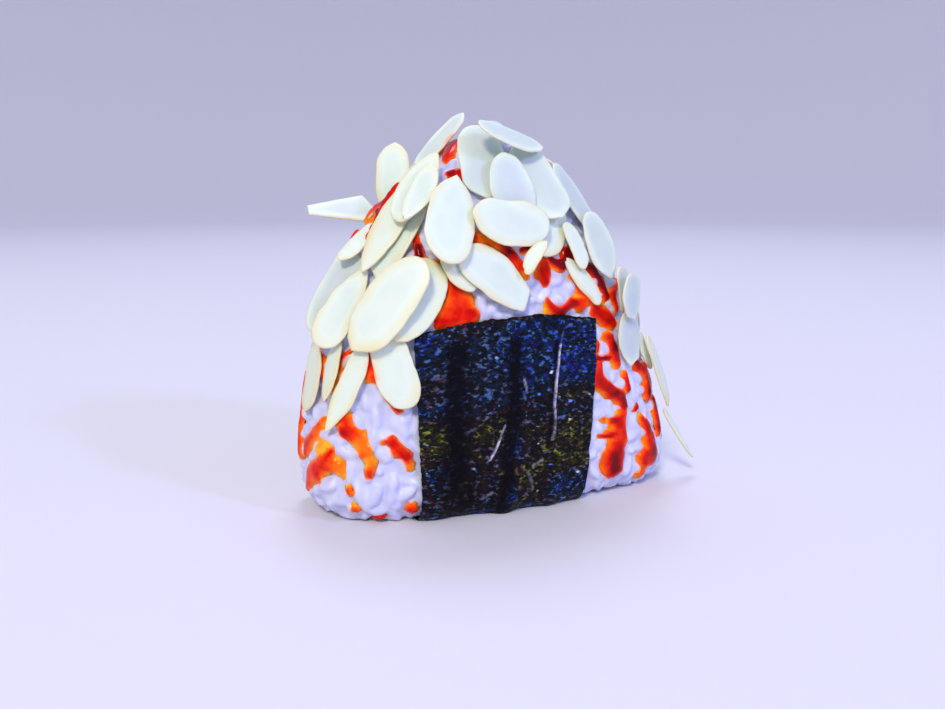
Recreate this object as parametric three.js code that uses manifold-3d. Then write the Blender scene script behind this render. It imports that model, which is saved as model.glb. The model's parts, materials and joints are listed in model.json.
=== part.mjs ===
// A hand-pressed triangular rice ball that stands on its base. A strip of nori wraps its front,
// base and back, chilli sauce runs down it, and sliced almonds cover its upper part.
// Millimetres, +Z up, front face towards -Y. The origin is on the resting plane, under the middle.
import * as THREE from "three";
import { mergeVertices } from "three/addons/utils/BufferGeometryUtils.js";
import Module from "manifold-3d";

const wasm = await Module();
wasm.setup();

// ---- Driving dimensions ----------------------------------------------------------------------

const BALL = {
  height: 90,
  halfWidth: 46.5,
  halfDepth: 21.4,
  sway: -2.4, // how far its middle leans to the left
  squareness: 2.8, // exponent of the level sections: 2 is an ellipse, more is squarer
  shoulder: 2.3, // exponents of the narrowing towards the top, seen from the front
  peak: 0.83,
  flank: 3.2, // and seen from the side
  crest: 0.5,
  rightFoot: 1.8, // how much further the low part of its right end reaches
  rightFootFades: [14, 32],
  baseRoundX: 6.5, // rounding of the base at its ends, and along its front and back
  baseRoundY: 6,
  lump: 0.45, // unevenness of the pressed rice
};
const HEART = new THREE.Vector3(0, 0, 38); // the whole surface is seen from this inner point
const CORE_DETAIL = 6;

const NORI = {
  topWide: 45.4, // at its front top
  footWide: 40, // where it passes under the ball
  footAt: 0.42, // the share of its length at which it does so
  middle: -4.6, // across, left of the ball's middle, at its front top
  footMiddle: -5.6,
  frontTop: 45.5,
  backTop: 38,
  thick: 0.6,
  pivotUp: 16, // height of the line that the strip's rows fan out from
  columns: 9,
  rows: 24,
  gap: 0.3,
};
// Upright creases down the nori's front: across from its middle, height, half-width, and the
// share of its length at which each begins to rise.
const CREASES = [
  { across: -16.5, high: 0.5, half: 2.4, from: -0.2 },
  { across: -1, high: 1.6, half: 2.6, from: 0.15 },
  { across: 11, high: 0.6, half: 2, from: -0.2 },
];
const CREASES_END = [0.38, 0.5]; // where they have died away, under the ball

const ALMOND = { thick: 1, clearance: 0.3, outlineSteps: 4, freeingStep: 0.2, freeingLimit: 14 };
const ABOVE_ALL = 25; // rays down onto the ball start this far over it
// The core is so much smaller than the ball; grains fused to it reach the ball's surface.
const GRAIN = { long: 6.2, wide: 3, high: 2.6, core: 1, apart: 7.45, tries: 4000, seed: 7 };
const SAUCE = { sides: 6, rings: 7, sunk: 1, high: 1.9 };

const COLOURS = {
  rice: { color: "#e9e6f0", roughness: 0.45 },
  nori: { color: "#1d2420", roughness: 0.35 },
  almond: { color: "#f2f1e0", roughness: 0.5 },
};

// ---- Solids and geometries -------------------------------------------------------------------

// A closed geometry as a solid that can be joined and cut.
function solidFrom(geometry) {
  const bare = geometry.index ? geometry.toNonIndexed() : geometry.clone();
  bare.deleteAttribute("normal");
  bare.deleteAttribute("uv");
  const merged = mergeVertices(bare, 1e-4);
  return new wasm.Manifold(
    new wasm.Mesh({
      numProp: 3,
      vertProperties: merged.attributes.position.array,
      triVerts: new Uint32Array(merged.index.array),
    }),
  );
}

function geometryFrom(solid) {
  const mesh = solid.getMesh();
  const geometry = new THREE.BufferGeometry();
  geometry.setAttribute("position", new THREE.BufferAttribute(mesh.vertProperties, 3));
  geometry.setIndex(new THREE.BufferAttribute(mesh.triVerts, 1));
  geometry.computeVertexNormals();
  return geometry;
}

const touches = (a, b) => a.intersect(b).volume() > 1e-6;

// A repeatable run of numbers from 0 to 1.
function seededDraw(seed) {
  let state = seed;
  return () => {
    state = (state * 16807) % 2147483647;
    return state / 2147483647;
  };
}

// ---- The ball's surface ----------------------------------------------------------------------

// How much a rounded corner takes off a half-width at height z. It is a quarter as high again as
// it is wide.
function cornerLoss(z, radius) {
  const t = THREE.MathUtils.clamp(1 - z / (radius * 1.25), 0, 1);
  return radius * (1 - Math.sqrt(1 - t * t));
}

function halfWidth(z) {
  const share = THREE.MathUtils.clamp(z / BALL.height, 0, 1);
  const taper = (1 - share ** BALL.shoulder) ** BALL.peak;
  return BALL.halfWidth * taper - cornerLoss(z, BALL.baseRoundX);
}

function halfDepth(z) {
  const share = THREE.MathUtils.clamp(z / BALL.height, 0, 1);
  const taper = (1 - share ** BALL.flank) ** BALL.crest;
  return BALL.halfDepth * taper - cornerLoss(z, BALL.baseRoundY);
}

const swayAt = (z) => BALL.sway * Math.sin((Math.PI * z) / BALL.height);

function lumpAt(p) {
  const wave = Math.sin(p.x / 6.5 + 1) * Math.cos(p.z / 8) + Math.sin(p.y / 7 + p.z / 10);
  return (BALL.lump * wave) / 2;
}

// Under 1 inside the ball, over 1 outside it. The ball can be taken thinner all round.
function fullness(p, thinner = 0) {
  if (p.z < 0 || p.z >= BALL.height) return 9;
  const extra = lumpAt(p) - thinner;
  const offset = p.x - swayAt(p.z);
  const footShare = offset > 0 ? 1 - THREE.MathUtils.smoothstep(p.z, ...BALL.rightFootFades) : 0;
  const width = halfWidth(p.z) + BALL.rightFoot * footShare + extra;
  const across = Math.abs(offset) / Math.max(width, 0.01);
  const deep = Math.abs(p.y) / Math.max(halfDepth(p.z) + extra, 0.01);
  return across ** BALL.squareness + deep ** BALL.squareness;
}

// Where a ray from an inner point leaves the ball.
function surfaceFrom(inner, direction, thinner = 0) {
  let near = 0;
  let far = 120;
  const p = new THREE.Vector3();
  for (let i = 0; i < 30; i++) {
    const middle = (near + far) / 2;
    p.copy(direction).multiplyScalar(middle).add(inner);
    if (fullness(p, thinner) < 1) near = middle;
    else far = middle;
  }
  if (p.z < 0.02) p.z = 0;
  return p;
}

function normalAt(p) {
  if (p.z < 0.05) return new THREE.Vector3(0, 0, -1);
  const step = 0.3;
  const slope = (axis) => {
    const ahead = p.clone().addScaledVector(axis, step);
    const behind = p.clone().addScaledVector(axis, -step);
    return fullness(ahead) - fullness(behind);
  };
  const up = Math.min(slope(new THREE.Vector3(0, 0, 1)), 4);
  return new THREE.Vector3(
    slope(new THREE.Vector3(1, 0, 0)),
    slope(new THREE.Vector3(0, 1, 0)),
    p.z < step ? -0.3 : up,
  ).normalize();
}

// A place on the ball: degrees around it from the front, to the right, and the height.
function placeAt(around, up) {
  const turn = THREE.MathUtils.degToRad(around);
  const inner = new THREE.Vector3(swayAt(up), 0, up);
  return surfaceFrom(inner, new THREE.Vector3(Math.sin(turn), -Math.cos(turn), 0));
}

// The pressed ball: a sphere whose points are moved out to the surface.
function makeBall(thinner) {
  const geometry = new THREE.IcosahedronGeometry(1, CORE_DETAIL);
  const positions = geometry.attributes.position;
  const direction = new THREE.Vector3();
  for (let i = 0; i < positions.count; i++) {
    direction.fromBufferAttribute(positions, i).normalize();
    const p = surfaceFrom(HEART, direction, thinner);
    positions.setXYZ(i, p.x, p.y, p.z);
  }
  return solidFrom(geometry);
}

// ---- Nori ------------------------------------------------------------------------------------

// How far the creases lift the strip: along runs from 0 at its front top to 1 at its back top.
function creaseLift(across, along) {
  let lift = 0;
  for (const crease of CREASES) {
    const off = (across - NORI.middle - crease.across) / crease.half;
    const begun = THREE.MathUtils.smoothstep(along, crease.from, crease.from + 0.2);
    lift += crease.high * Math.exp(-off * off) * begun;
  }
  return lift * (1 - THREE.MathUtils.smoothstep(along, ...CREASES_END));
}

// The angle in the strip's upright plane, from straight forward, at which a row lies.
function rowAngle(along, margin) {
  const reach = (top) => Math.atan2(top + margin - NORI.pivotUp, halfDepth(top));
  const first = reach(NORI.frontTop);
  const last = -Math.PI - reach(NORI.backTop);
  return THREE.MathUtils.lerp(first, last, along);
}

// A closed band round the front, base and back, between two distances from the ball.
function makeBand({ inner, outer, lowInner, lowOuter, margin, creased }) {
  const skin = (distance, lowest) => {
    const rows = [];
    for (let r = 0; r <= NORI.rows; r++) {
      const along = r / NORI.rows;
      const angle = rowAngle(along, margin);
      const direction = new THREE.Vector3(0, -Math.cos(angle), Math.sin(angle));
      const row = [];
      const narrowing = Math.min(along / NORI.footAt, 1);
      const half = THREE.MathUtils.lerp(NORI.topWide, NORI.footWide, narrowing) / 2 + margin;
      const middle = THREE.MathUtils.lerp(NORI.middle, NORI.footMiddle, narrowing);
      for (let c = 0; c <= NORI.columns; c++) {
        const x = middle + THREE.MathUtils.lerp(-half, half, c / NORI.columns);
        const p = surfaceFrom(new THREE.Vector3(x, 0, NORI.pivotUp), direction);
        const normal = normalAt(p);
        const lift = creased ? creaseLift(x, along) : 0;
        p.addScaledVector(normal, distance + lift);
        p.z = Math.max(p.z, lowest);
        row.push(p);
      }
      rows.push(row);
    }
    return rows;
  };
  const faces = [];
  const quad = (a, b, c, d) => faces.push(a, b, c, a, c, d);
  const inside = skin(inner, lowInner);
  const outside = skin(outer, lowOuter);
  for (let r = 0; r < NORI.rows; r++) {
    for (let c = 0; c < NORI.columns; c++) {
      quad(outside[r][c], outside[r + 1][c], outside[r + 1][c + 1], outside[r][c + 1]);
      quad(inside[r][c], inside[r][c + 1], inside[r + 1][c + 1], inside[r + 1][c]);
    }
    const last = NORI.columns;
    quad(outside[r][0], inside[r][0], inside[r + 1][0], outside[r + 1][0]);
    quad(outside[r][last], outside[r + 1][last], inside[r + 1][last], inside[r][last]);
  }
  for (let c = 0; c < NORI.columns; c++) {
    const end = NORI.rows;
    quad(outside[0][c], outside[0][c + 1], inside[0][c + 1], inside[0][c]);
    quad(outside[end][c], inside[end][c], inside[end][c + 1], outside[end][c + 1]);
  }
  return solidFrom(new THREE.BufferGeometry().setFromPoints(faces));
}

const makeNori = () =>
  makeBand({
    inner: NORI.gap,
    outer: NORI.gap + NORI.thick,
    lowInner: NORI.thick,
    lowOuter: 0,
    margin: 0,
    creased: true,
  });

// The room that the rice leaves for the strip.
const makeNoriRoom = () =>
  makeBand({
    inner: 0,
    outer: 5,
    lowInner: NORI.thick + NORI.gap,
    lowOuter: -2,
    margin: NORI.gap,
    creased: false,
  });

// ---- Sauce -----------------------------------------------------------------------------------

// The thick runs of sauce: each goes down through places on the ball, [around, up], starts so
// wide and ends in a drop of another width.
const RUNS = [
  { through: [[-70, 27], [-66, 20], [-63, 12]], wide: 5.4, drop: 4.6 },
  { through: [[-80, 18], [-77, 13], [-73, 7]], wide: 5, drop: 4.2 },
  { through: [[-61, 21], [-56, 14]], wide: 3.6, drop: 4 },
  { through: [[-47, 54], [-44, 49], [-42, 45.8]], wide: 6, drop: 8 },
  { through: [[22, 49.5], [32, 48.6], [42, 50]], wide: 3, drop: 4 },
  { through: [[52, 37], [57, 28], [59, 20], [58, 11]], wide: 3.8, drop: 7.6 },
  { through: [[73, 33], [76, 24], [77, 15], [75, 8]], wide: 3.4, drop: 5 },
  { through: [[118, 34], [120, 26], [122, 17]], wide: 3.6, drop: 5 },
  { through: [[150, 31], [152, 25], [151, 19]], wide: 3, drop: 4.4 },
  { through: [[-118, 33], [-121, 24], [-120, 14]], wide: 3.8, drop: 5.6 },
  { through: [[-96, 26], [-98, 15]], wide: 3.4, drop: 4.6 },
];

// A sphere drawn out along a run, so that its rings follow the ball.
function makeRun({ through, wide, drop }) {
  const points = through.map(([around, up]) => placeAt(around, up));
  const path = new THREE.CatmullRomCurve3(points);
  const geometry = new THREE.SphereGeometry(1, SAUCE.sides, SAUCE.rings);
  const positions = geometry.attributes.position;
  const p = new THREE.Vector3();
  for (let i = 0; i < positions.count; i++) {
    p.fromBufferAttribute(positions, i);
    const along = (1 - p.y) / 2;
    const onPath = path.getPointAt(along);
    const normal = normalAt(onPath);
    const side = new THREE.Vector3().crossVectors(normal, path.getTangentAt(along));
    const swelling = THREE.MathUtils.smoothstep(along, 0.4, 0.8);
    const half = THREE.MathUtils.lerp(wide, drop, swelling) / 2;
    onPath.addScaledVector(side, p.x * half);
    onPath.addScaledVector(normal, p.z * SAUCE.high - SAUCE.sunk);
    positions.setXYZ(i, onPath.x, onPath.y, onPath.z);
  }
  return solidFrom(geometry);
}

// ---- Almonds ---------------------------------------------------------------------------------

// One slice, flat in XY: round at -X, pointed at +X, and broken straight off there if snapped.
function makeSlice({ long, wide, snapped = 0 }, spare = 0) {
  const tip = long / 2 + spare;
  const side = wide / 2 + spare;
  const shape = new THREE.Shape();
  shape.moveTo(-tip, 0);
  shape.bezierCurveTo(-tip, -side * 0.7, -tip * 0.62, -side, -tip * 0.08, -side);
  shape.bezierCurveTo(tip * 0.45, -side, tip * 0.84, -side * 0.42, tip, 0);
  shape.bezierCurveTo(tip * 0.84, side * 0.42, tip * 0.45, side, -tip * 0.08, side);
  shape.bezierCurveTo(-tip * 0.62, side, -tip, side * 0.7, -tip, 0);
  const plate = new THREE.ExtrudeGeometry(shape, {
    depth: ALMOND.thick + 2 * spare,
    bevelEnabled: false,
    curveSegments: ALMOND.outlineSteps,
  });
  plate.translate(0, 0, -spare);
  if (!snapped) return solidFrom(plate);
  const knife = new THREE.BoxGeometry(long, 2 * wide, 6 * ALMOND.thick);
  knife.translate(long - long * snapped, 0, 0).rotateZ(0.14);
  return solidFrom(plate).subtract(solidFrom(knife));
}

// The slices that the front shows, each at a place: degrees around the ball, and height. A lying
// one has its pointed end turned so many degrees from straight up to the right. A leaning one
// has the directions of its pointed end and of its face. A later slice lies on the earlier ones.
const FRONT = {
  left_shoulder: {
    around: -85, up: 51, points: [0.62, 0.1, 1], faces: [-0.84, -0.5, 0.42], long: 22, wide: 10.6,
  },
  over_nori: { around: -58.5, up: 36, turn: -16, long: 18.5, wide: 9 },
  diagonal: { around: -71, up: 31, turn: 204, long: 21, wide: 5.2 },
  low_left_inner: { around: -76, up: 35, turn: 182, long: 14, wide: 5 },
  low_left_outer: { around: -87, up: 32, turn: 172, long: 15.5, wide: 8.6 },
  left_hollow: { around: -77, up: 48, turn: 10, long: 20, wide: 9 },
  slope_inner: { around: -68, up: 63.5, turn: 194, long: 21, wide: 9 },
  fan_under: { around: -54, up: 50, turn: 208, long: 20, wide: 10.4 },
  fan_over: { around: -62, up: 49, turn: 218, long: 25, wide: 11.8 },
  wedge: {
    around: -112, up: 63.8, points: [-0.93, -0.3, -0.09], faces: [0.14, -0.6, 0.84],
    long: 21, wide: 10.4, snapped: 0.14,
  },
  left_tuck: { around: -84, up: 60.5, turn: 168, long: 13, wide: 5.6 },
  left_slope: { around: -72, up: 65, turn: 189, long: 25, wide: 8 },
  ear_left: {
    around: -139, up: 72.4, points: [0.02, 0.1, 1], faces: [-0.5, -0.86, 0], long: 18.5, wide: 9,
  },
  spire: {
    around: -100, up: 83.6, points: [0.69, -0.05, 0.73], faces: [-0.6, -0.42, 0.7],
    long: 17, wide: 5.4,
  },
  ridge: { around: -108, up: 73, turn: 6, long: 18, wide: 8 },
  upper_slope: { around: -65, up: 72.8, turn: 7, long: 19.5, wide: 8.4 },
  upper_inner: { around: -60, up: 70.5, turn: 194, long: 15, wide: 6.6 },
  centre_left: { around: -38, up: 57, turn: 142, long: 14, wide: 8, snapped: 0.1 },
  centre_right: { around: -17, up: 54.5, turn: 126, long: 21.5, wide: 9.8, snapped: 0.06 },
  centre_tall: { around: -46, up: 66.6, turn: 8, long: 20.4, wide: 12 },
  right_edge: { around: 56, up: 70, turn: 154, long: 22.5, wide: 9.6 },
  right_face_low: { around: 27, up: 66.6, turn: 14, long: 16.8, wide: 9.8 },
  right_face_high: { around: 24, up: 75, turn: 160, long: 20.5, wide: 10.6 },
  crown_front: { around: -30, up: 80, turn: 178, long: 19, wide: 11.4 },
  crown_right: { around: -5, up: 73, turn: 166, long: 17, wide: 10.4 },
  centre_flat: { around: -11, up: 65.9, turn: -80, long: 19.4, wide: 10 },
  prop: {
    around: 7, up: 58.4, points: [0.5, -0.2, 0.84], faces: [-0.62, -0.74, 0.25], long: 8.8, wide: 3.2,
  },
  right_low_lean: { around: 43, up: 53, turn: -40, long: 15, wide: 4.2 },
  right_inner: { around: 40, up: 61, turn: 160, long: 12, wide: 4.4 },
  right_middle: { around: 54, up: 60, turn: 156, long: 17, wide: 8.6 },
  right_shoulder: { around: 62, up: 50, turn: -25, long: 12, wide: 7 },
  cap_under: { around: 116, up: 76, turn: 124, long: 17, wide: 8 },
  crown_top: { around: 165, up: 80, turn: 96, long: 17, wide: 10, snapped: 0.12 },
  cap: {
    around: -6, up: 83, points: [0.93, 0.1, -0.27], faces: [0.25, -0.62, 0.75],
    long: 18.5, wide: 6.8,
  },
  right_low_wide: { around: 61, up: 38.6, turn: 168, long: 15, wide: 9, snapped: 0.06 },
  ear_right: {
    around: 60, up: 47.5, points: [-0.1, -0.1, -1], faces: [0.5, -0.8, 0.2],
    long: 12, wide: 8.6, snapped: 0.1,
  },
  right_tuck: { around: 72, up: 34, turn: -24, long: 11, wide: 4.4 },
  needle_high: {
    around: 74, up: 28, points: [0.36, -0.04, -0.93], faces: [0.67, -0.67, 0.33],
    long: 20, wide: 8, snapped: 0.05,
  },
  needle_low: {
    around: 78, up: 10.6, points: [0.56, -0.05, -0.83], faces: [0.74, -0.58, 0.5], long: 17, wide: 5.4,
  },
};

// Slices round the back, which no view tells apart: spread evenly, the low ones first.
const BACK = { count: 18, from: 88, to: 234, low: 36, high: 79, seed: 11 };

function backSlices() {
  const draw = seededDraw(BACK.seed);
  const slices = {};
  for (let i = 0; i < BACK.count; i++) {
    const share = (i + 0.5) / BACK.count;
    const golden = (i * 0.618034) % 1;
    slices["back_" + String(i + 1).padStart(2, "0")] = {
      around: THREE.MathUtils.lerp(BACK.from, BACK.to, golden),
      up: THREE.MathUtils.lerp(BACK.low, BACK.high, share ** 0.9),
      turn: 180 + 70 * (draw() - 0.5),
      long: 17 + 6 * draw(),
      wide: 8.4 + 2.8 * draw(),
      snapped: draw() > 0.75 ? 0.08 : 0,
    };
  }
  return slices;
}

// The long axis, the cross axis and the normal of a slice at a place, in the tangent plane.
function tangentFrame(place, turn) {
  const normal = normalAt(place);
  const uphill = new THREE.Vector3(0, 0, 1).addScaledVector(normal, -normal.z).normalize();
  const right = new THREE.Vector3().crossVectors(uphill, normal);
  const angle = THREE.MathUtils.degToRad(turn);
  const long = uphill.multiplyScalar(Math.cos(angle)).addScaledVector(right, Math.sin(angle));
  return { long, cross: new THREE.Vector3().crossVectors(normal, long), normal };
}

function poseOf(long, cross, normal, position) {
  return new THREE.Matrix4().makeBasis(long, cross, normal).setPosition(position);
}

// The heap that slices settle on: its meshes for rays, its solids for the touch test.
class Heap {
  constructor() {
    this.targets = [];
    this.solids = [];
    this.ray = new THREE.Raycaster();
  }
  add(solid) {
    const mesh = new THREE.Mesh(geometryFrom(solid));
    mesh.geometry.computeBoundingSphere();
    this.targets.push(mesh);
    this.solids.push(solid);
  }
  // The height of the heap over a point, along the normal, or a low value where there is none.
  heightOver(point, normal) {
    const start = point.clone().addScaledVector(normal, ABOVE_ALL);
    this.ray.set(start, normal.clone().negate());
    const hits = this.ray.intersectObjects(this.targets, false);
    return hits.length ? ABOVE_ALL - hits[0].distance : -ABOVE_ALL;
  }
  blocks(solid) {
    return this.solids.some((other) => touches(other, solid));
  }
}

// Moves a slice out along a direction until nothing touches it, and keeps the room round it.
function freeFrom(heap, slice, pose, outward) {
  const step = new THREE.Matrix4();
  for (let moved = 0; moved < ALMOND.freeingLimit; moved += ALMOND.freeingStep) {
    step.makeTranslation(outward.clone().multiplyScalar(moved)).multiply(pose);
    const room = makeSlice(slice, ALMOND.clearance / 2).transform(step.toArray());
    if (!heap.blocks(room)) return { plate: makeSlice(slice).transform(step.toArray()), room };
  }
  throw new Error("a slice finds no room");
}

// Drops a slice along the surface normal: of all small tilts, it takes the one that lets its
// middle come down the furthest.
function layDown(heap, slice) {
  const place = placeAt(slice.around, slice.up);
  const { long, cross, normal } = tangentFrame(place, slice.turn);
  const feet = [[0, 0, heap.heightOver(place, normal)]];
  for (const ring of [1, 0.7, 0.4]) {
    for (let k = 0; k < 14; k++) {
      const angle = (2 * Math.PI * k) / 14;
      const x = (ring * slice.long * Math.cos(angle)) / 2;
      const y = (ring * slice.wide * Math.sin(angle)) / 2;
      const point = place.clone().addScaledVector(long, x).addScaledVector(cross, y);
      feet.push([x, y, heap.heightOver(point, normal)]);
    }
  }
  let best = { height: Infinity };
  for (let along = -0.4; along <= 0.4; along += 0.05) {
    for (let over = -0.4; over <= 0.4; over += 0.05) {
      const height = Math.max(...feet.map(([x, y, h]) => h - along * x - over * y));
      const score = height + 0.6 * (along * along + over * over);
      if (score < best.height) best = { height: score, rest: height, along, over };
    }
  }
  const tiltedLong = long.clone().addScaledVector(normal, best.along).normalize();
  const tiltedCross = cross.clone().addScaledVector(normal, best.over);
  const face = new THREE.Vector3().crossVectors(tiltedLong, tiltedCross).normalize();
  const side = new THREE.Vector3().crossVectors(face, tiltedLong);
  const bottom = place.clone().addScaledVector(normal, best.rest + ALMOND.clearance);
  return freeFrom(heap, slice, poseOf(tiltedLong, side, face, bottom), normal);
}

function leanOn(heap, slice) {
  const place = placeAt(slice.around, slice.up);
  const long = new THREE.Vector3(...slice.points).normalize();
  const face = new THREE.Vector3(...slice.faces);
  face.addScaledVector(long, -face.dot(long)).normalize();
  const cross = new THREE.Vector3().crossVectors(face, long);
  return freeFrom(heap, slice, poseOf(long, cross, face, place), normalAt(place));
}

// ---- Rice grains -----------------------------------------------------------------------------

function makeGrain(place, draw) {
  const { long, cross, normal } = tangentFrame(place, 360 * draw());
  const rise = 0.35 * (draw() - 0.5);
  const tipped = long.clone().addScaledVector(normal, rise).normalize();
  const face = new THREE.Vector3().crossVectors(tipped, cross);
  const size = 0.88 + 0.24 * draw();
  const geometry = new THREE.SphereGeometry(0.5, 5, 3).rotateZ(-Math.PI / 2);
  geometry.scale(GRAIN.long * size, GRAIN.wide * size, GRAIN.high * size);
  const centre = place.clone().addScaledVector(normal, -GRAIN.high / 2);
  return solidFrom(geometry.applyMatrix4(poseOf(tipped, cross, face, centre)));
}

// Grains all over the ball, none too near another, left out where they would meet a topping.
function makeGrains(rooms) {
  const draw = seededDraw(GRAIN.seed);
  const places = [];
  for (let i = 0; i < GRAIN.tries; i++) {
    const place = placeAt(360 * draw(), 2 + (BALL.height - 5) * draw());
    if (places.every((other) => other.distanceTo(place) > GRAIN.apart)) places.push(place);
  }
  const grains = places.map((place) => makeGrain(place, draw));
  return grains.filter((grain) => !rooms.some((room) => touches(room, grain)));
}

// ---- The object ------------------------------------------------------------------------------

function meshOf(name, solid, finish) {
  const mesh = new THREE.Mesh(geometryFrom(solid), new THREE.MeshStandardMaterial(finish));
  mesh.name = name;
  return mesh;
}

const runs = RUNS.map(makeRun);
const nori = makeNori();
const noriRoom = makeNoriRoom();

const heap = new Heap();
for (const solid of [makeBall(0), nori, ...runs]) heap.add(solid);

const almonds = {};
for (const [name, slice] of Object.entries({ ...backSlices(), ...FRONT })) {
  almonds[name] = slice.points ? leanOn(heap, slice) : layDown(heap, slice);
  heap.add(almonds[name].plate);
}

const grains = makeGrains([noriRoom, ...Object.values(almonds).map(({ room }) => room)]);
const under = new THREE.BoxGeometry(300, 300, 20).translate(0, 0, -10);
const rice = wasm.Manifold.union([makeBall(GRAIN.core), ...runs, ...grains])
  .subtract(noriRoom)
  .subtract(solidFrom(under));

const riceBall = new THREE.Group();
riceBall.add(meshOf("rice", rice, COLOURS.rice));
riceBall.add(meshOf("nori", nori, COLOURS.nori));
for (const [name, { plate }] of Object.entries(almonds)) {
  riceBall.add(meshOf("almond_" + name, plate, COLOURS.almond));
}

export default riceBall;
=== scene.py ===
"""A hand-pressed rice ball with nori, chilli sauce and sliced almonds, dressed over its solids.

Blender objects are in metres, +Z up, front face towards -Y. Shapes are worked out in millimetres.
"""

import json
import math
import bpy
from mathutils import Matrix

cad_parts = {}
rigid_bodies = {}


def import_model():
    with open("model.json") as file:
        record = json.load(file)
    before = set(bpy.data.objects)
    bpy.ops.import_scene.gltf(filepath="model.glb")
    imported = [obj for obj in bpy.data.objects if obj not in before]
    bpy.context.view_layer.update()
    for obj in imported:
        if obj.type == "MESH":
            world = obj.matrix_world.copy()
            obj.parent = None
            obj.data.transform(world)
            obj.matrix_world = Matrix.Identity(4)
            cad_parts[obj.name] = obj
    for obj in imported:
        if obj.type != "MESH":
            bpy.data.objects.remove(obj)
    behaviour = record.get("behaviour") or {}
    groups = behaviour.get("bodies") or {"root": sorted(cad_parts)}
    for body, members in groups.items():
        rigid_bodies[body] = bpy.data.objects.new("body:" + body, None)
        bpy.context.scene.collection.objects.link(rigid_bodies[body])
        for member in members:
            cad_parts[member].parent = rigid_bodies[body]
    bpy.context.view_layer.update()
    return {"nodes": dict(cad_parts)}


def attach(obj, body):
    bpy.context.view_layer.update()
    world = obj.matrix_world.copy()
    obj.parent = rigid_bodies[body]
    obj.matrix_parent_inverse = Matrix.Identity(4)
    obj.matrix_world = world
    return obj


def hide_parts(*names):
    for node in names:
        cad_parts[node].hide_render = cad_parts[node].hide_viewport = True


bl_info = {
    "name": "Rice Ball",
    "version": (1, 0, 0),
    "blender": (4, 5, 0),
    "location": "3D View > Sidebar > Rice Ball",
    "description": "Builds a pressed rice ball with nori, chilli sauce and sliced almonds",
    "category": "Mesh",
}

import bpy
import numpy as np
from mathutils import Vector, noise

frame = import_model()

MM = 0.001

# The pressed ball, in mm: the same form as its solid.
HEIGHT = 90.0
HALF_WIDTH = 46.5
HALF_DEPTH = 21.4
SWAY = -2.4  # how far its middle leans to the left
SQUARENESS = 2.8  # from above: 2 is an oval, and more is squarer
SHOULDER, PEAK = 2.3, 0.83  # how its sides run up to the top
FLANK, CREST = 3.2, 0.5  # how its front and back do
RIGHT_FOOT, RIGHT_FOOT_FADES = 1.8, (14, 32)  # how much further the low part of its right reaches
BASE_ROUND_X, BASE_ROUND_Y = 6.5, 6.0
LUMP = 0.45  # how uneven the pressing left it
HEART = np.array([0.0, 0.0, 38.0])  # the whole surface is seen from this inner point
RAY_REACH, RAY_HALVINGS = 120.0, 30
SLOPE_STEP = 0.3

# The nori strip, in mm: over the front from its top edge, under the base and up the back.
NORI_TOP_WIDE, NORI_FOOT_WIDE, NORI_FOOT_AT = 45.4, 40.0, 0.42
NORI_MIDDLE, NORI_FOOT_MIDDLE = -4.6, -5.6
NORI_FRONT_TOP, NORI_BACK_TOP = 45.5, 38.0
NORI_PIVOT_UP = 16.0
NORI_OUTSIDE = 0.8  # its outer face between its crinkles, over the ball
NORI_ABOUT_LONG = 140.0
NORI_COLUMNS, NORI_ROWS = 150, 280
FOLD_HIGH, BAND_DEEP = 0.35, 0.3
# Its crinkles: how high, how far across, how much they are drawn out down the strip, their seed.
NORI_CRINKLES = [(0.22, 4.2, 1.0, 10), (0.16, 1.7, 0.45, 11), (0.06, 0.7, 1.0, 12)]
# Its upright creases: across from its middle, height, half-width, and where along each begins.
CREASES = [(-16.5, 0.5, 2.4, -0.2), (-1.0, 1.6, 2.6, 0.15), (11.0, 0.6, 2.0, -0.2)]
CREASES_END = (0.38, 0.5)
# Places on the strip are given across it from its middle and down it from its top edge. These are
# its sharp little folds, whose crests carry a painted highlight, and its dark bands of painted
# shade along its valleys: each from one end to the other, with its half-width and its strength.
NORI_FOLDS = [
    (12.8, 3.5, 12.3, 7, 0.22, 0.12),
    (12.3, 7, 11.3, 13, 0.25, 0.85),
    (11.3, 13, 10.9, 18, 0.23, 0.9),
    (10.9, 18, 11.0, 23.5, 0.25, 0.6),
    (11.0, 23.5, 10.3, 29, 0.25, 0.25),
    (-1.6, 24.6, -3.0, 27.2, 0.25, 0.35),
    (-3.0, 27.2, -5.6, 32, 0.26, 0.9),
    (5.3, 34.6, 7.7, 33.5, 0.3, 0.2),
    (3.9, 36, 5.5, 40, 0.35, 0.15),
    (-7.6, 41, -5.2, 39.8, 0.3, 0.22),
    (2.9, 14.2, 3.5, 16.4, 0.25, 0.35),
]
NORI_SHADE_BANDS = [
    (-13.6, 6, -14.0, 20, 3.0, 1.0),
    (-14.0, 20, -13.6, 37, 3.2, 1.0),
    (-13.6, 37, -11.0, 50, 4.4, 0.7),
    (1.0, 6, 0.6, 22, 1.8, 1.0),
    (0.6, 22, -1.8, 38, 2.0, 1.0),
    (-1.8, 38, -3.2, 50, 1.7, 0.9),
    (11.2, 6, 10.2, 17, 0.6, 0.9),
    (10.2, 17, 9.9, 30, 0.6, 0.8),
]
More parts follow.
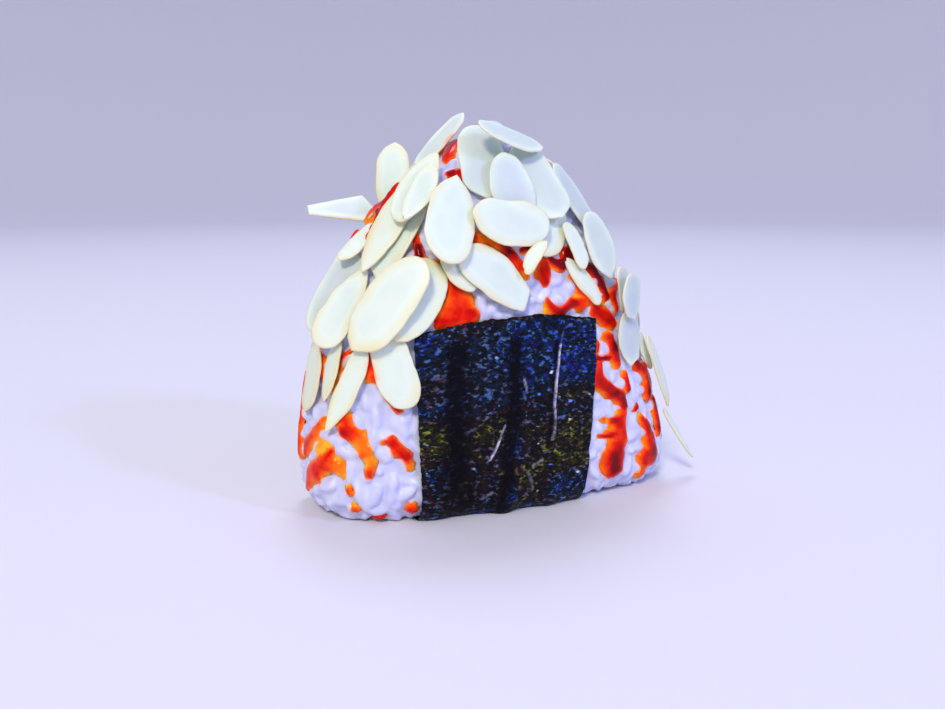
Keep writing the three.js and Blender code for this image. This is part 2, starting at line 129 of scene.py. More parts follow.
# Patches of its tone, each with its place, its half-sizes and its tone: 0 for navy, through teal
# and maroon, to 1 for olive. The navy and teal are painted blue reflection; the maroon and olive
# are the sheet's own colour.
NORI_TONES = [
    (-21, 7, 5, 4, 0.05),
    (-8, 10, 4, 4, 0.3),
    (-20, 14.5, 4, 3, 0.5),
    (-20, 19, 4, 2.4, 0.1),
    (-21, 24, 4.5, 2.6, 1.0),
    (-20, 30, 4, 4, 0.85),
    (-18.5, 34, 2.5, 2, 0.2),
    (-17, 42, 7, 5, 0.62),
    (-7.5, 19.8, 3.5, 3, 0.3),
    (-5.5, 26, 4, 4, 0.78),
    (-6, 37, 5, 4, 0.6),
    (-0.6, 40.6, 1.3, 3, 0.0),
    (1.3, 29, 1.2, 3, 0.15),
    (5, 8, 5, 7, 0.12),
    (6, 20.5, 4, 3, 0.5),
    (6, 26, 3.5, 2.5, 0.75),
    (6, 31, 3, 3, 0.62),
    (6, 37.5, 5, 4, 0.8),
    (15, 9, 6, 8, 0.06),
    (15.5, 18.6, 4.5, 2, 0.95),
    (14, 22, 3, 2, 0.4),
    (14.5, 31, 4.5, 6, 0.88),
    (13.5, 39.6, 4, 2.4, 0.05),
    (0, 47.5, 30, 2.5, 0.08),
]

# Runs and pools of sauce: the depth in mm, then places it goes through, each with the degrees
# round the ball from the front, the height, the half-width in mm, and how red it is there.
SAUCE_RUNS = [
    (0.5, (-94.9, 36.6, 1.4, 0.25), (-85.1, 36.6, 1.3, 0.75), (-80.1, 32.3, 0.9, 0.45),
     (-79, 28.9, 1, 0.85)),
    (0.5, (-72, 39.6, 0.5, 0.9), (-74.4, 38, 0.8, 0.75), (-74.2, 34.8, 0.7, 0.25),
     (-75.4, 30.5, 1, 0.15)),
    (0.7, (-64.6, 39.2, 0.9, 0.9), (-65.7, 36.9, 1.8, 0.85), (-64.7, 34.5, 2, 0.5),
     (-61.5, 33.2, 1.3, 0.6)),
    (0.8, (-61.7, 32.3, 0.8, 0.6), (-59.9, 29.9, 1.2, 0.85), (-57.5, 26.9, 1.3, 0.7)),
    (0.5, (-78.2, 24.1, 0.9, 0.4), (-82.4, 20.3, 1.5, 0.55), (-88.1, 16.5, 1.7, 0.75),
     (-89.1, 14.5, 1.2, 0.8)),
    (0.5, (-80.4, 16.8, 1.5, 0.05), (-76.8, 18.6, 0.9, 0.05)),
    (0.7, (-75.5, 17.2, 0.7, 0.8), (-77.7, 14.2, 2.3, 0.55), (-82.8, 11.2, 2.8, 0.56)),
    (0.6, (-84.8, 10.4, 2.4, 0.6), (-89.7, 5.7, 1.2, 0.5)),
    (0.5, (-80.3, 11.2, 1.4, 0.75), (-80.6, 9.1, 0.5, 0.7)),
    (0.7, (-77.7, 13.9, 2.3, 0.5), (-73.6, 13.5, 1.6, 0.35), (-72.2, 11.6, 0.8, 0.25)),
    (1.6, (-70.7, 8.3, 1.2, 0.6), (-70.6, 8.2, 1.2, 0.6)),
    (0.8, (-70.6, 3.8, 1.4, 0.6), (-70.5, 3.8, 1.4, 0.6)),
    (0.6, (-67.6, 1.4, 1.2, 0.9), (-66.2, 1.3, 1.2, 0.9)),
    (0.9, (-56.4, 3.7, 1.6, 0.75), (-56.4, 3.4, 1.6, 0.75)),
    (0.9, (-71.5, 25.3, 1.6, 0.5), (-71.2, 22.2, 1.9, 0.85), (-68.2, 20.3, 2, 0.36),
     (-66.5, 17.9, 1.7, 0.22), (-65.2, 14.7, 1.2, 0.28), (-65.8, 12.2, 1.3, 0.6)),
    (0.4, (-72, 23.5, 1.4, 0.4), (-74.7, 23.3, 0.6, 0.2)),
    (0.5, (-66.3, 16.7, 0.9, 0.6), (-67.6, 16.3, 0.5, 0.85)),
    (0.8, (-62.3, 19.6, 0.5, 0.6), (-59.7, 19.8, 1.2, 0.7), (-58, 17.5, 1.6, 0.65),
     (-55.9, 16, 1.1, 0.9), (-55, 13.3, 1, 0.15)),
    (3.0, (-98.2, 75.4, 0.8, 0.6), (-97.3, 73.8, 1.1, 0.75), (-96, 71.8, 1.2, 0.8),
     (-90.6, 68.5, 1.8, 0.85)),
    (3.0, (-93.8, 70, 1.4, 0.6), (-108, 68.1, 1.6, 0.55), (-107.1, 65.5, 0.8, 0.15)),
    (4.5, (-88.8, 68, 1.4, 0.95), (-82.9, 66.8, 1.2, 0.95), (-81.6, 64, 1.1, 0.75),
     (-81.6, 62.2, 0.8, 0.3), (-80.5, 60.6, 0.7, 0.3)),
    (3.0, (-106.4, 62.8, 1.8, 0.6), (-106.1, 61.7, 1.4, 0.75)),
    (0.3, (-62.6, 65.3, 0.9, 0.45), (-59.3, 63.2, 1, 0.55)),
    (2.2, (-57.2, 61.7, 1, 1.2), (-55.4, 58.9, 1.1, 1)),
    (1.6, (-54.8, 58.5, 0.9, 0.8), (-51, 57.9, 0.8, 0.75), (-46.7, 58.6, 0.8, 0.3)),
    (0.7, (-106.8, 81.1, 1.3, 0.35), (-114, 83.5, 2.1, 0.65), (-88.2, 84.5, 2.6, 0.85),
     (-68.5, 81.3, 1.8, 0.9)),
    (0.5, (-77.4, 85.5, 1, 0.95), (-84.7, 84.3, 2, 0.9)),
    (0.7, (-56.6, 77.7, 0.8, 0.9), (-49.6, 77.7, 1.6, 0.9), (-48.6, 76.1, 1, 0.95)),
    (0.6, (-43, 56.3, 0.9, 0.6), (-39.1, 52.8, 2, 0.55), (-36.4, 49.7, 3.4, 0.6),
     (-39.8, 47.2, 3.3, 0.65), (-31.1, 46.6, 2.3, 0.75), (-44.6, 45.6, 1.8, 0.8)),
    (1.8, (-35.7, 64.2, 1.6, 0.85), (-27, 63.3, 1.8, 0.32), (-17.2, 62.2, 1.8, 0.3),
     (-10.4, 61.4, 1.7, 0.8)),
    (1.4, (-10.4, 61.4, 1.5, 1.05), (-4.4, 59.3, 1.5, 0.8), (1.4, 57.1, 1.4, 0.75),
     (7.6, 54.6, 0.7, 0.4)),
    (0.5, (4.6, 60.6, 0.7, 1), (9.6, 61, 0.8, 1)),
    (1.0, (19.8, 57.7, 1.4, 0.7), (19.3, 55.7, 1.9, 0.8), (19.6, 53.5, 1.5, 0.85)),
    (0.6, (26.4, 58.1, 0.9, 1.2), (32.7, 56.9, 1.2, 1.25), (38.2, 59.5, 1.8, 1.15),
     (43.3, 58, 1.4, 1.1)),
    (0.5, (38, 56.8, 0.7, 0.9), (39.6, 53.5, 0.7, 0.85), (42.1, 50.7, 1.1, 0.8),
     (46.2, 49.1, 1.9, 0.6)),
    (0.8, (19.9, 49.4, 0.7, 0.6), (23.5, 47.1, 1.1, 0.8), (29.1, 46.1, 0.9, 0.9),
     (35.2, 48.1, 1.1, 0.9), (41, 47.7, 1.7, 0.65), (46.1, 48.9, 1.3, 0.6)),
    (0.5, (21.3, 46, 1.1, 0.35), (29, 45.3, 0.8, 0.6)),
    (0.5, (48, 57.2, 1.1, 1.3), (52.6, 55.2, 1.3, 1.3), (55.3, 52, 1.4, 1.2),
     (56.5, 48.9, 1.3, 1.1)),
    (0.5, (70.1, 51.7, 1.1, 0.45), (60.7, 49.1, 1.3, 0.9), (60.6, 45.5, 1.1, 0.75)),
    (0.15, (48.8, 45.7, 1.9, 0.8), (53.1, 44.3, 2.3, 0.8), (56.7, 42.7, 1.8, 0.8)),
    (0.6, (47.1, 38, 1.1, 0.52), (46.8, 36.6, 0.9, 0.57)),
    (0.6, (46, 34.7, 0.8, 0.97), (52, 34.3, 0.8, 1.07)),
    (0.8, (51, 39.7, 0.7, 0.67), (54, 39.2, 1.1, 0.87), (54.6, 36.3, 1.6, 0.97),
     (55.8, 32.5, 1.3, 0.62)),
    (0.9, (46.6, 32.8, 1.6, 0.62), (46.2, 29.4, 1.9, 0.87), (51.3, 26.4, 1.8, 0.92),
     (55.6, 24.2, 1.8, 0.97), (56.7, 22.1, 1.4, 0.97)),
    (0.9, (56.1, 20.2, 1.5, 0.57), (54.4, 17.6, 2, 0.82), (54.5, 13.8, 2.5, 0.62),
     (51.7, 10.1, 3.5, 0.97), (51.6, 7.6, 3.5, 1.07)),
    (0.4, (45.5, 15.6, 0.4, 0.87), (48.6, 15.4, 0.6, 0.97), (52.4, 15.6, 1.2, 0.87)),
    (0.5, (51.3, 19, 1, 0.92), (54.7, 18.8, 1.5, 0.87)),
    (0.5, (47.9, 19.5, 0.8, 0.42), (48.1, 19.5, 0.8, 0.42)),
    (0.5, (59, 30, 0.9, 0.62), (59.6, 26, 1.1, 0.92)),
    (0.8, (64.3, 33.9, 0.7, 1.02), (66, 30.9, 1.4, 0.82), (70.2, 29.3, 2.3, 0.77),
     (71.8, 26, 2.7, 0.82), (69.9, 23.7, 2.2, 1.07)),
    (0.6, (73.4, 21.5, 1.5, 0.97), (73.6, 17.8, 1.5, 0.92), (74.2, 12.9, 1.8, 1.02)),
    (0.9, (65.9, 16.1, 1.6, 0.77), (67.3, 11.7, 2.1, 0.82), (67.7, 7.7, 3, 0.92),
     (64, 7.7, 2.6, 0.87)),
    (0.6, (61.9, 21, 1.2, 0.87), (62.4, 21.1, 1.2, 0.87)),
    (0.4, (64.3, 18, 1.1, 0.67), (65.4, 16.2, 1.2, 0.77)),
    (0.7, (64.3, 3.6, 2.1, 0.47), (64.5, 3.5, 2.1, 0.47)),
    # Pools under the slices at the back.
    (0.6, (-170, 54, 3.2, 0.7), (172, 50, 3.6, 0.8), (160, 54, 2.6, 0.6)),
    (0.6, (-120, 58, 2.6, 0.8), (-136, 54, 2.2, 0.7)),
    (0.6, (110, 60, 2.6, 0.8), (128, 54, 2.4, 0.7)),
    (0.6, (90, 62, 2.4, 0.9), (82, 56, 1.8, 0.8)),
    (0.7, (-160, 68, 3.0, 0.8), (170, 72, 3.0, 0.9), (150, 66, 2.4, 0.7)),
    (0.7, (-130, 76, 2.4, 0.8), (-150, 80, 2.0, 0.9)),
    (0.7, (120, 78, 2.4, 0.8), (100, 74, 2.2, 0.9), (70, 74, 2.0, 0.9)),
]
# The runs round the back: degrees round the ball, the heights that each starts and ends at, and
# its half-width in mm. Each wanders from step to step, and the longer ones put out a thin arm.
BACK_RUNS = [
    (87, 50, 20, 1.5),
    (102, 43, 25, 1.3),
    (119, 52, 17, 1.9),
    (135, 47, 30, 1.5),
    (150, 50, 18, 1.8),
    (144, 13, 7, 1.5),
    (110, 11, 5, 1.4),
    (-149, 50, 27, 1.6),
    (-145, 18, 10, 1.5),
    (-132, 45, 28, 1.3),
    (-119, 52, 13, 2.0),
    (-107, 42, 30, 1.1),
    (-97, 33, 14, 1.7),
    (-105, 8, 5, 1.4),
]
BACK_STEP, BACK_WANDER = 4.0, 1.1  # mm down and degrees aside
ARM_TURN, ARM_FALL, ARM_DEPTH = 7, 4.5, 0.4
SAUCE_BLEND = 0.3  # how softly runs that meet flow together, in mm
SAUCE_REACH = 0.9  # how far past a run's edge its sheet goes on, under the grains
SAUCE_SUNK, SAUCE_WALL = 1.3, 0.5
SAUCE_RAGGED = [(0.45, 2.4, 1), (0.14, 1.0, 2)]  # by how much, how far across, and the seed
POINTS_AT_ONCE = 20000

CAMERA_AZIMUTH, CAMERA_ELEVATION = -25.0, 10.0
CAMERA_DISTANCE = 0.2437
CAMERA_TARGET = Vector((-0.0045, 0.0, 0.0341))
CAMERA_LENS, CAMERA_SENSOR = 38.0, 36.0
# The soft lights: name, place and size in metres, power in watts, colour.
LIGHTS = [
    ("key_light", (-1.0, -1.3, 1.3), 0.4, 26.0, "#fff4da"),
    ("top_light", (0.3, 0.7, 1.6), 0.7, 10.0, "#e3e6ff"),
    ("cool_light", (0.75, -1.4, 0.95), 0.2, 11.0, "#9fb0ff"),
]
LIGHTS_AIM = Vector((0, 0, 0.04))
ROOM_COLOUR, ROOM_STRENGTH = "#c9cef0", 0.8
FLOOR_COLOUR = "#dad8dd"
FLOOR_RADIUS, FLOOR_SWEEP, FLOOR_STEPS = 1.6, 1.1, 8


def linear(code):
    """An sRGB hex colour as linear RGBA."""
    values = [int(code[i : i + 2], 16) / 255 for i in (1, 3, 5)]
    return (*[v / 12.92 if v <= 0.04045 else ((v + 0.055) / 1.055) ** 2.4 for v in values], 1.0)


# ---- The ball's form, in mm ---------------------------------------------------------------------


def smoothstep(low, high, value):
    share = np.clip((value - low) / (high - low), 0, 1)
    return share * share * (3 - 2 * share)


def unit(rows):
    return rows / np.linalg.norm(rows, axis=1, keepdims=True)


def corner_loss(z, radius):
    """What a rounded corner takes off a half-width at a height."""
    share = np.clip(1 - z / (radius * 1.25), 0, 1)
    return radius * (1 - np.sqrt(1 - share * share))


def half_width(z):
    share = np.clip(z / HEIGHT, 0, 1)
    return HALF_WIDTH * (1 - share**SHOULDER) ** PEAK - corner_loss(z, BASE_ROUND_X)


def half_depth(z):
    share = np.clip(z / HEIGHT, 0, 1)
    return HALF_DEPTH * (1 - share**FLANK) ** CREST - corner_loss(z, BASE_ROUND_Y)


def fullness(points, grown=0.0):
    """Under 1 inside the ball, over 1 outside it, for rows of points."""
    x, y, z = points.T
    wave = np.sin(x / 6.5 + 1) * np.cos(z / 8) + np.sin(y / 7 + z / 10)
    extra = LUMP * wave / 2 + grown
    offset = x - SWAY * np.sin(np.pi * z / HEIGHT)
    foot = np.where(offset > 0, RIGHT_FOOT * (1 - smoothstep(*RIGHT_FOOT_FADES, z)), 0)
    across = np.abs(offset) / np.maximum(half_width(z) + foot + extra, 0.01)
    deep = np.abs(y) / np.maximum(half_depth(z) + extra, 0.01)
    inside = across**SQUARENESS + deep**SQUARENESS
    return np.where((z < -grown) | (z >= HEIGHT + grown), 9.0, inside)


def surface_from(inner, directions, grown=0.0):
    """Where rays from inner points leave the ball."""
    near = np.zeros(len(directions))
    far = np.full(len(directions), RAY_REACH)
    for _ in range(RAY_HALVINGS):
        middle = (near + far) / 2
        inside = fullness(inner + directions * middle[:, None], grown) < 1
        near = np.where(inside, middle, near)
        far = np.where(inside, far, middle)
    return inner + directions * near[:, None]


def normals_at(points):
    """The way that the ball faces at each place, which is down where it stands."""
    slopes = []
    for step in SLOPE_STEP * np.eye(3):
        slopes.append(fullness(points + step, 1.0) - fullness(points - step, 1.0))
    slopes = np.clip(np.array(slopes).T, -4, 4)
    slopes[points[:, 2] < 0.4] = (0, 0, -1)
    return unit(slopes)


def places_at(around, up):
    """Places on the ball: degrees round it from the front, to the right, and the height."""
    turn = np.radians(np.asarray(around, float))
    up = np.asarray(up, float)
    flat = np.zeros(len(turn))
    inner = np.stack([SWAY * np.sin(np.pi * up / HEIGHT), flat, up], 1)
    return surface_from(inner, np.stack([np.sin(turn), -np.cos(turn), flat], 1))


def unevenness(points, size, seed):
    """Smooth noise from -1 to 1 whose bumps are so many mm across."""
    shift = Vector((seed * 7.3, seed * 3.1, seed * 5.7))
    return np.array([noise.noise(Vector(p) / size + shift) for p in points.tolist()])


# ---- The nori's form, in mm ---------------------------------------------------------------------


def reach_angle(top):
    return np.arctan2(top - NORI_PIVOT_UP, half_depth(top))


NORI_FIRST = reach_angle(NORI_FRONT_TOP)
NORI_LAST = -math.pi - reach_angle(NORI_BACK_TOP)


def nori_row(along):
    """The middle and the half-width of the strip at a share of its way round."""
    share = np.clip(along / NORI_FOOT_AT, 0, 1)
    middle = NORI_MIDDLE + (NORI_FOOT_MIDDLE - NORI_MIDDLE) * share
    return middle, (NORI_TOP_WIDE + (NORI_FOOT_WIDE - NORI_TOP_WIDE) * share) / 2


def nori_places(x, along):
    """Places on the ball under the strip."""
    angle = NORI_FIRST + (NORI_LAST - NORI_FIRST) * along
    flat = np.zeros(len(x))
    inner = np.stack([x, flat, flat + NORI_PIVOT_UP], 1)
    return surface_from(inner, np.stack([flat, -np.cos(angle), np.sin(angle)], 1))


def down_strip(along):
    """The distance in mm from the strip's front top edge to a share of its way round."""
    shares = np.linspace(-0.02, 1.02, 400)
    places = nori_places(np.full(len(shares), NORI_FOOT_MIDDLE), shares)
    steps = np.linalg.norm(np.diff(places, axis=0), axis=1)
    reach = np.concatenate([[0], np.cumsum(steps)])
    return np.interp(along, shares, reach - np.interp(0, shares, reach))


def stroke(across, down, strokes):
    """How strongly the strokes show at each place on the strip: in full near their lines, and
    fading to nothing past their half-widths."""
    nearest = np.zeros(len(across))
    for x0, y0, x1, y1, half, strength in strokes:
        line = np.array([x1 - x0, y1 - y0])
        along = ((across - x0) * line[0] + (down - y0) * line[1]) / (line @ line)
        along = np.clip(along, 0, 1)
        away = np.hypot(across - x0 - along * line[0], down - y0 - along * line[1])
        shown = strength * (1 - smoothstep(0.4, 1.5, away / half))
        nearest = np.maximum(nearest, shown)
    return nearest


def under_nori(points, margin):
    """1 for points that the strip covers, falling to 0 a margin outside its edge."""
    angle = np.arctan2(points[:, 2] - NORI_PIVOT_UP, -points[:, 1])
    # Past the top the angle counts on round the back.
    angle = np.where(angle > NORI_FIRST + 0.6, angle - 2 * np.pi, angle)
    along = (angle - NORI_FIRST) / (NORI_LAST - NORI_FIRST)
    middle, half = nori_row(along)
    beside = np.abs(points[:, 0] - middle) - half
    beyond = np.maximum(-along, along - 1) * NORI_ABOUT_LONG
    return 1 - smoothstep(0, margin, np.maximum(beside, beyond))


# ---- The sauce's depth --------------------------------------------------------------------------


def back_runs():
    """The runs at the back, each wandering down to a drop, and a thin arm off the longer ones."""
    draw = np.random.default_rng(31)
    runs = []
    for around, top, foot, half in BACK_RUNS:
        count = max(3, round((top - foot) / BACK_STEP))
        turns = around + np.cumsum(draw.normal(0, BACK_WANDER, count))
        heights = np.linspace(top, foot, count)
        halves = half * draw.uniform(0.55, 1.1, count)
        halves[-2:] = 0.75 * half, 1.3 * half
        reds = draw.uniform(0.4, 0.9, count)
        runs.append((draw.uniform(0.5, 1.0), *zip(turns, heights, halves, reds)))
        if count > 4:
            k = draw.integers(1, count - 2)
            start = (turns[k], heights[k], 0.7 * halves[k], reds[k])
            turn = turns[k] + draw.choice((-ARM_TURN, ARM_TURN))
            end = (turn, heights[k] - ARM_FALL, 0.45 * half, 0.4)
            runs.append((ARM_DEPTH, start, end))
    return runs


def sauce_segments():
    """Every stretch of a run as one row: its two ends, their half-widths and redness in turn, and
    its depth."""
    rows = []
    for depth, *stops in SAUCE_RUNS + back_runs():
        places = places_at([s[0] for s in stops], [s[1] for s in stops])
        for k in range(len(stops) - 1):
            rows.append((*places[k], *places[k + 1], *stops[k][2:], *stops[k + 1][2:], depth))
    return np.array(rows)


def sauce_at(points):
    """For each point: how far inside a run's edge it is in mm, the same as a share of the run's
    half-width, the run's depth and its redness."""
    segments = sauce_segments()
    start, end = segments[:, :3], segments[:, 3:6]
    line = end - start
    reach = np.maximum((line * line).sum(1), 1e-6)
    result = np.empty((len(points), 4))
    for first in range(0, len(points), POINTS_AT_ONCE):
        rows = slice(first, first + POINTS_AT_ONCE)
        part = points[rows]
        offset = part[:, None, :] - start[None]
        along = np.clip((offset * line).sum(2) / reach, 0, 1)
        away = np.linalg.norm(offset - along[..., None] * line, axis=2)
        radius = segments[:, 6] + along * (segments[:, 8] - segments[:, 6])
        red = segments[:, 7] + along * (segments[:, 9] - segments[:, 7])
        inside = radius - away
        behind = (inside - inside.max(1, keepdims=True)) / SAUCE_BLEND
        weight = np.exp(np.clip(behind, -40, 0))
        total = weight.sum(1)
        result[rows, 0] = inside.max(1) + SAUCE_BLEND * np.log(np.minimum(total, 2.5))
        result[rows, 1] = (weight * radius).sum(1) / total
        result[rows, 2] = (weight * segments[:, 10]).sum(1) / total
        result[rows, 3] = (weight * red).sum(1) / total
    # The edges of the wider runs are ragged.
    near = result[:, 0] > -2.5
    ragged = sum(most * unevenness(points[near], size, seed) for most, size, seed in SAUCE_RAGGED)
    result[near, 0] += ragged * smoothstep(0.8, 2.4, result[near, 1])
    result[:, 1] = result[:, 0] / np.maximum(result[:, 1], 0.9)
    return result


def sauce_redness(share, red):
    """Thin edges are orange, the middle of a run is as red as the run."""
    return red * (0.2 + 0.8 * smoothstep(-0.25, 0.75, share))


# ---- Modelling helpers --------------------------------------------------------------------------


def deselect_all():
    bpy.ops.object.select_all(action="DESELECT")


def activate(obj):
    deselect_all()
    obj.select_set(True)
    bpy.context.view_layer.objects.active = obj


def apply_modifier(obj, kind, **settings):
    activate(obj)
    modifier = obj.modifiers.new(kind.title(), kind)
    for key, value in settings.items():
        setattr(modifier, key, value)
    bpy.ops.object.modifier_apply(modifier=modifier.name)


def read_points(obj):
    """The mesh's points in mm."""
    flat = np.empty(len(obj.data.vertices) * 3)
    obj.data.vertices.foreach_get("co", flat)
    return flat.reshape(-1, 3) / MM


def write_points(obj, points):
    obj.data.vertices.foreach_set("co", (np.asarray(points) * MM).ravel())
    obj.data.update()


def read_faces(obj):
    return [tuple(face.vertices) for face in obj.data.polygons]


def mesh_from(name, points, faces):
    mesh = bpy.data.meshes.new(name)
    mesh.from_pydata((np.asarray(points) * MM).tolist(), [], faces)
    mesh.update()
    obj = bpy.data.objects.new(name, mesh)
    bpy.context.scene.collection.objects.link(obj)
    return obj


def store(obj, name, values):
    layer = obj.data.attributes.new(name, "FLOAT", "POINT")
    layer.data.foreach_set("value", np.asarray(values, np.float32))


def select_points(obj, chosen):
    """Opens a mesh in edit mode with only the chosen points selected."""
    activate(obj)
    bpy.ops.object.mode_set(mode="EDIT")
    bpy.ops.mesh.select_mode(type="VERT")
    bpy.ops.mesh.select_all(action="DESELECT")
    bpy.ops.object.mode_set(mode="OBJECT")
    obj.data.vertices.foreach_set("select", chosen)
    bpy.ops.object.mode_set(mode="EDIT")


def keep_main_part(obj):
    """Deletes loose crumbs: only what hangs together with the topmost point stays."""
    heights = read_points(obj)[:, 2]
    select_points(obj, np.arange(len(heights)) == heights.argmax())
    bpy.ops.mesh.select_linked()
    bpy.ops.mesh.select_all(action="INVERT")
    bpy.ops.mesh.delete(type="VERT")
    bpy.ops.object.mode_set(mode="OBJECT")


def smooth_shade(obj):
    activate(obj)
    bpy.ops.object.shade_smooth()


def finish_piece(obj, material, slot, *nodes):
    """Gives a piece its material and its body, and hides the solids that it stands in for. The slot
    is not used.
    """
    obj.data.materials.clear()
    obj.data.materials.append(material)
    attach(obj, "root")
    if nodes:
        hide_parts(*nodes)


# ---- Materials ----------------------------------------------------------------------------------


def new_material(name):
    material = bpy.data.materials.new(name)
    material.use_nodes = True
    material.node_tree.nodes.clear()
    return material, material.node_tree


def add_node(tree, kind, sockets=None, stops=None, **settings):
    """Adds a node with its settings, its ramp's stops and its sockets' values or links. A node
    given as a value is linked by its first output in use, and a stop's colour may be hex."""
    node = tree.nodes.new(kind)
    for key, value in settings.items():
        setattr(node, key, value)
    if stops:
        ramp = node.color_ramp
        while len(ramp.elements) < len(stops):
            ramp.elements.new(1.0)
        for element, (position, colour) in zip(ramp.elements, stops):
            element.position = position
            element.color = linear(colour) if isinstance(colour, str) else colour
    for key, value in (sockets or {}).items():
        if isinstance(value, bpy.types.Node):
            value = next(output for output in value.outputs if output.enabled)
        if isinstance(value, bpy.types.NodeSocket):
            tree.links.new(value, node.inputs[key])
        else:
            node.inputs[key].default_value = value
    return node


def per_mm(size):
    """The scale of a pattern on Object coordinates whose features are so many mm across."""
    return 1000.0 / size


def cooked_rice(settings):
    """Cooked short-grain rice, steamed and pressed: pearly, moist and slightly see-through, and
    stained orange to red where sauce has soaked in."""
    material, tree = new_material("cooked_short_grain_rice")
    place = add_node(tree, "ShaderNodeTexCoord").outputs["Object"]
    cloud = add_node(
        tree, "ShaderNodeTexNoise", {"Vector": place, "Scale": per_mm(4.0), "Detail": 2.0}
    )
    pearl = add_node(
        tree, "ShaderNodeValToRGB", {"Fac": cloud},
        stops=[(0.3, settings.rice_shade), (0.62, settings.rice_colour)]
    )
    soaked = add_node(tree, "ShaderNodeAttribute", attribute_name="stain").outputs["Fac"]
    red = add_node(tree, "ShaderNodeAttribute", attribute_name="red").outputs["Fac"]
    tint = add_node(
        tree, "ShaderNodeValToRGB", {"Fac": red},
        stops=[(0.05, "#ffc14a"), (0.35, "#ff7a1c"), (0.65, "#e8330f"), (1.0, "#a80f0c")]
    )
    colour = add_node(tree, "ShaderNodeMix", {0: soaked, 6: pearl, 7: tint}, data_type="RGBA")
    gloss = add_node(tree, "ShaderNodeMapRange", {"Value": soaked, "To Min": 0.36, "To Max": 0.14})
    # Starch skin: fine wrinkles about half a millimetre across.
    skin = add_node(
        tree, "ShaderNodeTexNoise", {"Vector": place, "Scale": per_mm(0.7), "Detail": 3.0}
    )
    bump = add_node(
        tree, "ShaderNodeBump", {"Height": skin, "Strength": 0.12, "Distance": 0.2 * MM}
    )
    surface = add_node(
        tree, "ShaderNodeBsdfPrincipled", {
            "Base Color": colour, "Roughness": gloss, "Normal": bump, "IOR": 1.42,
            "Subsurface Weight": 0.35, "Subsurface Radius": (1.0, 0.8, 0.75),
            "Subsurface Scale": 1.6 * MM
        }
    )
    add_node(tree, "ShaderNodeOutputMaterial", {"Surface": surface})
    return material


def chilli_sauce(settings):
    """Sweet chilli sauce, poured: glassy and wet, deep red where it stands thick, clear orange
    to yellow where it runs thin."""
    material, tree = new_material("sweet_chilli_sauce")
    place = add_node(tree, "ShaderNodeTexCoord").outputs["Object"]
    red = add_node(tree, "ShaderNodeAttribute", attribute_name="red").outputs["Fac"]
    drift = add_node(
        tree, "ShaderNodeTexNoise", {"Vector": place, "Scale": per_mm(3.0), "Detail": 2.0}
    )
    swing = add_node(
        tree, "ShaderNodeMapRange",
        {"Value": drift, "From Min": 0.3, "From Max": 0.7, "To Min": -0.14, "To Max": 0.14}
    )
    level = add_node(tree, "ShaderNodeMath", {0: red, 1: swing}, operation="ADD", use_clamp=True)
    colour = add_node(
        tree, "ShaderNodeValToRGB", {"Fac": level}, stops=[
            (0.05, "#ffb02a"), (0.26, "#ff780a"), (0.5, "#f03c06"), (0.7, settings.sauce_colour),
            (1.0, settings.sauce_deep)
        ]
    )
    ripple = add_node(
        tree, "ShaderNodeTexNoise", {"Vector": place, "Scale": per_mm(1.6), "Detail": 2.0}
    )
    bump = add_node(
        tree, "ShaderNodeBump", {"Height": ripple, "Strength": 0.25, "Distance": 0.4 * MM}
    )
    surface = add_node(
        tree, "ShaderNodeBsdfPrincipled", {
            "Base Color": colour, "Roughness": 0.1, "Normal": bump, "IOR": 1.44,
            "Specular IOR Level": 0.15, "Subsurface Weight": 0.1,
            "Subsurface Radius": (1.0, 0.35, 0.15), "Subsurface Scale": 1.0 * MM
        }
    )
    add_node(tree, "ShaderNodeOutputMaterial", {"Surface": surface})
    return material


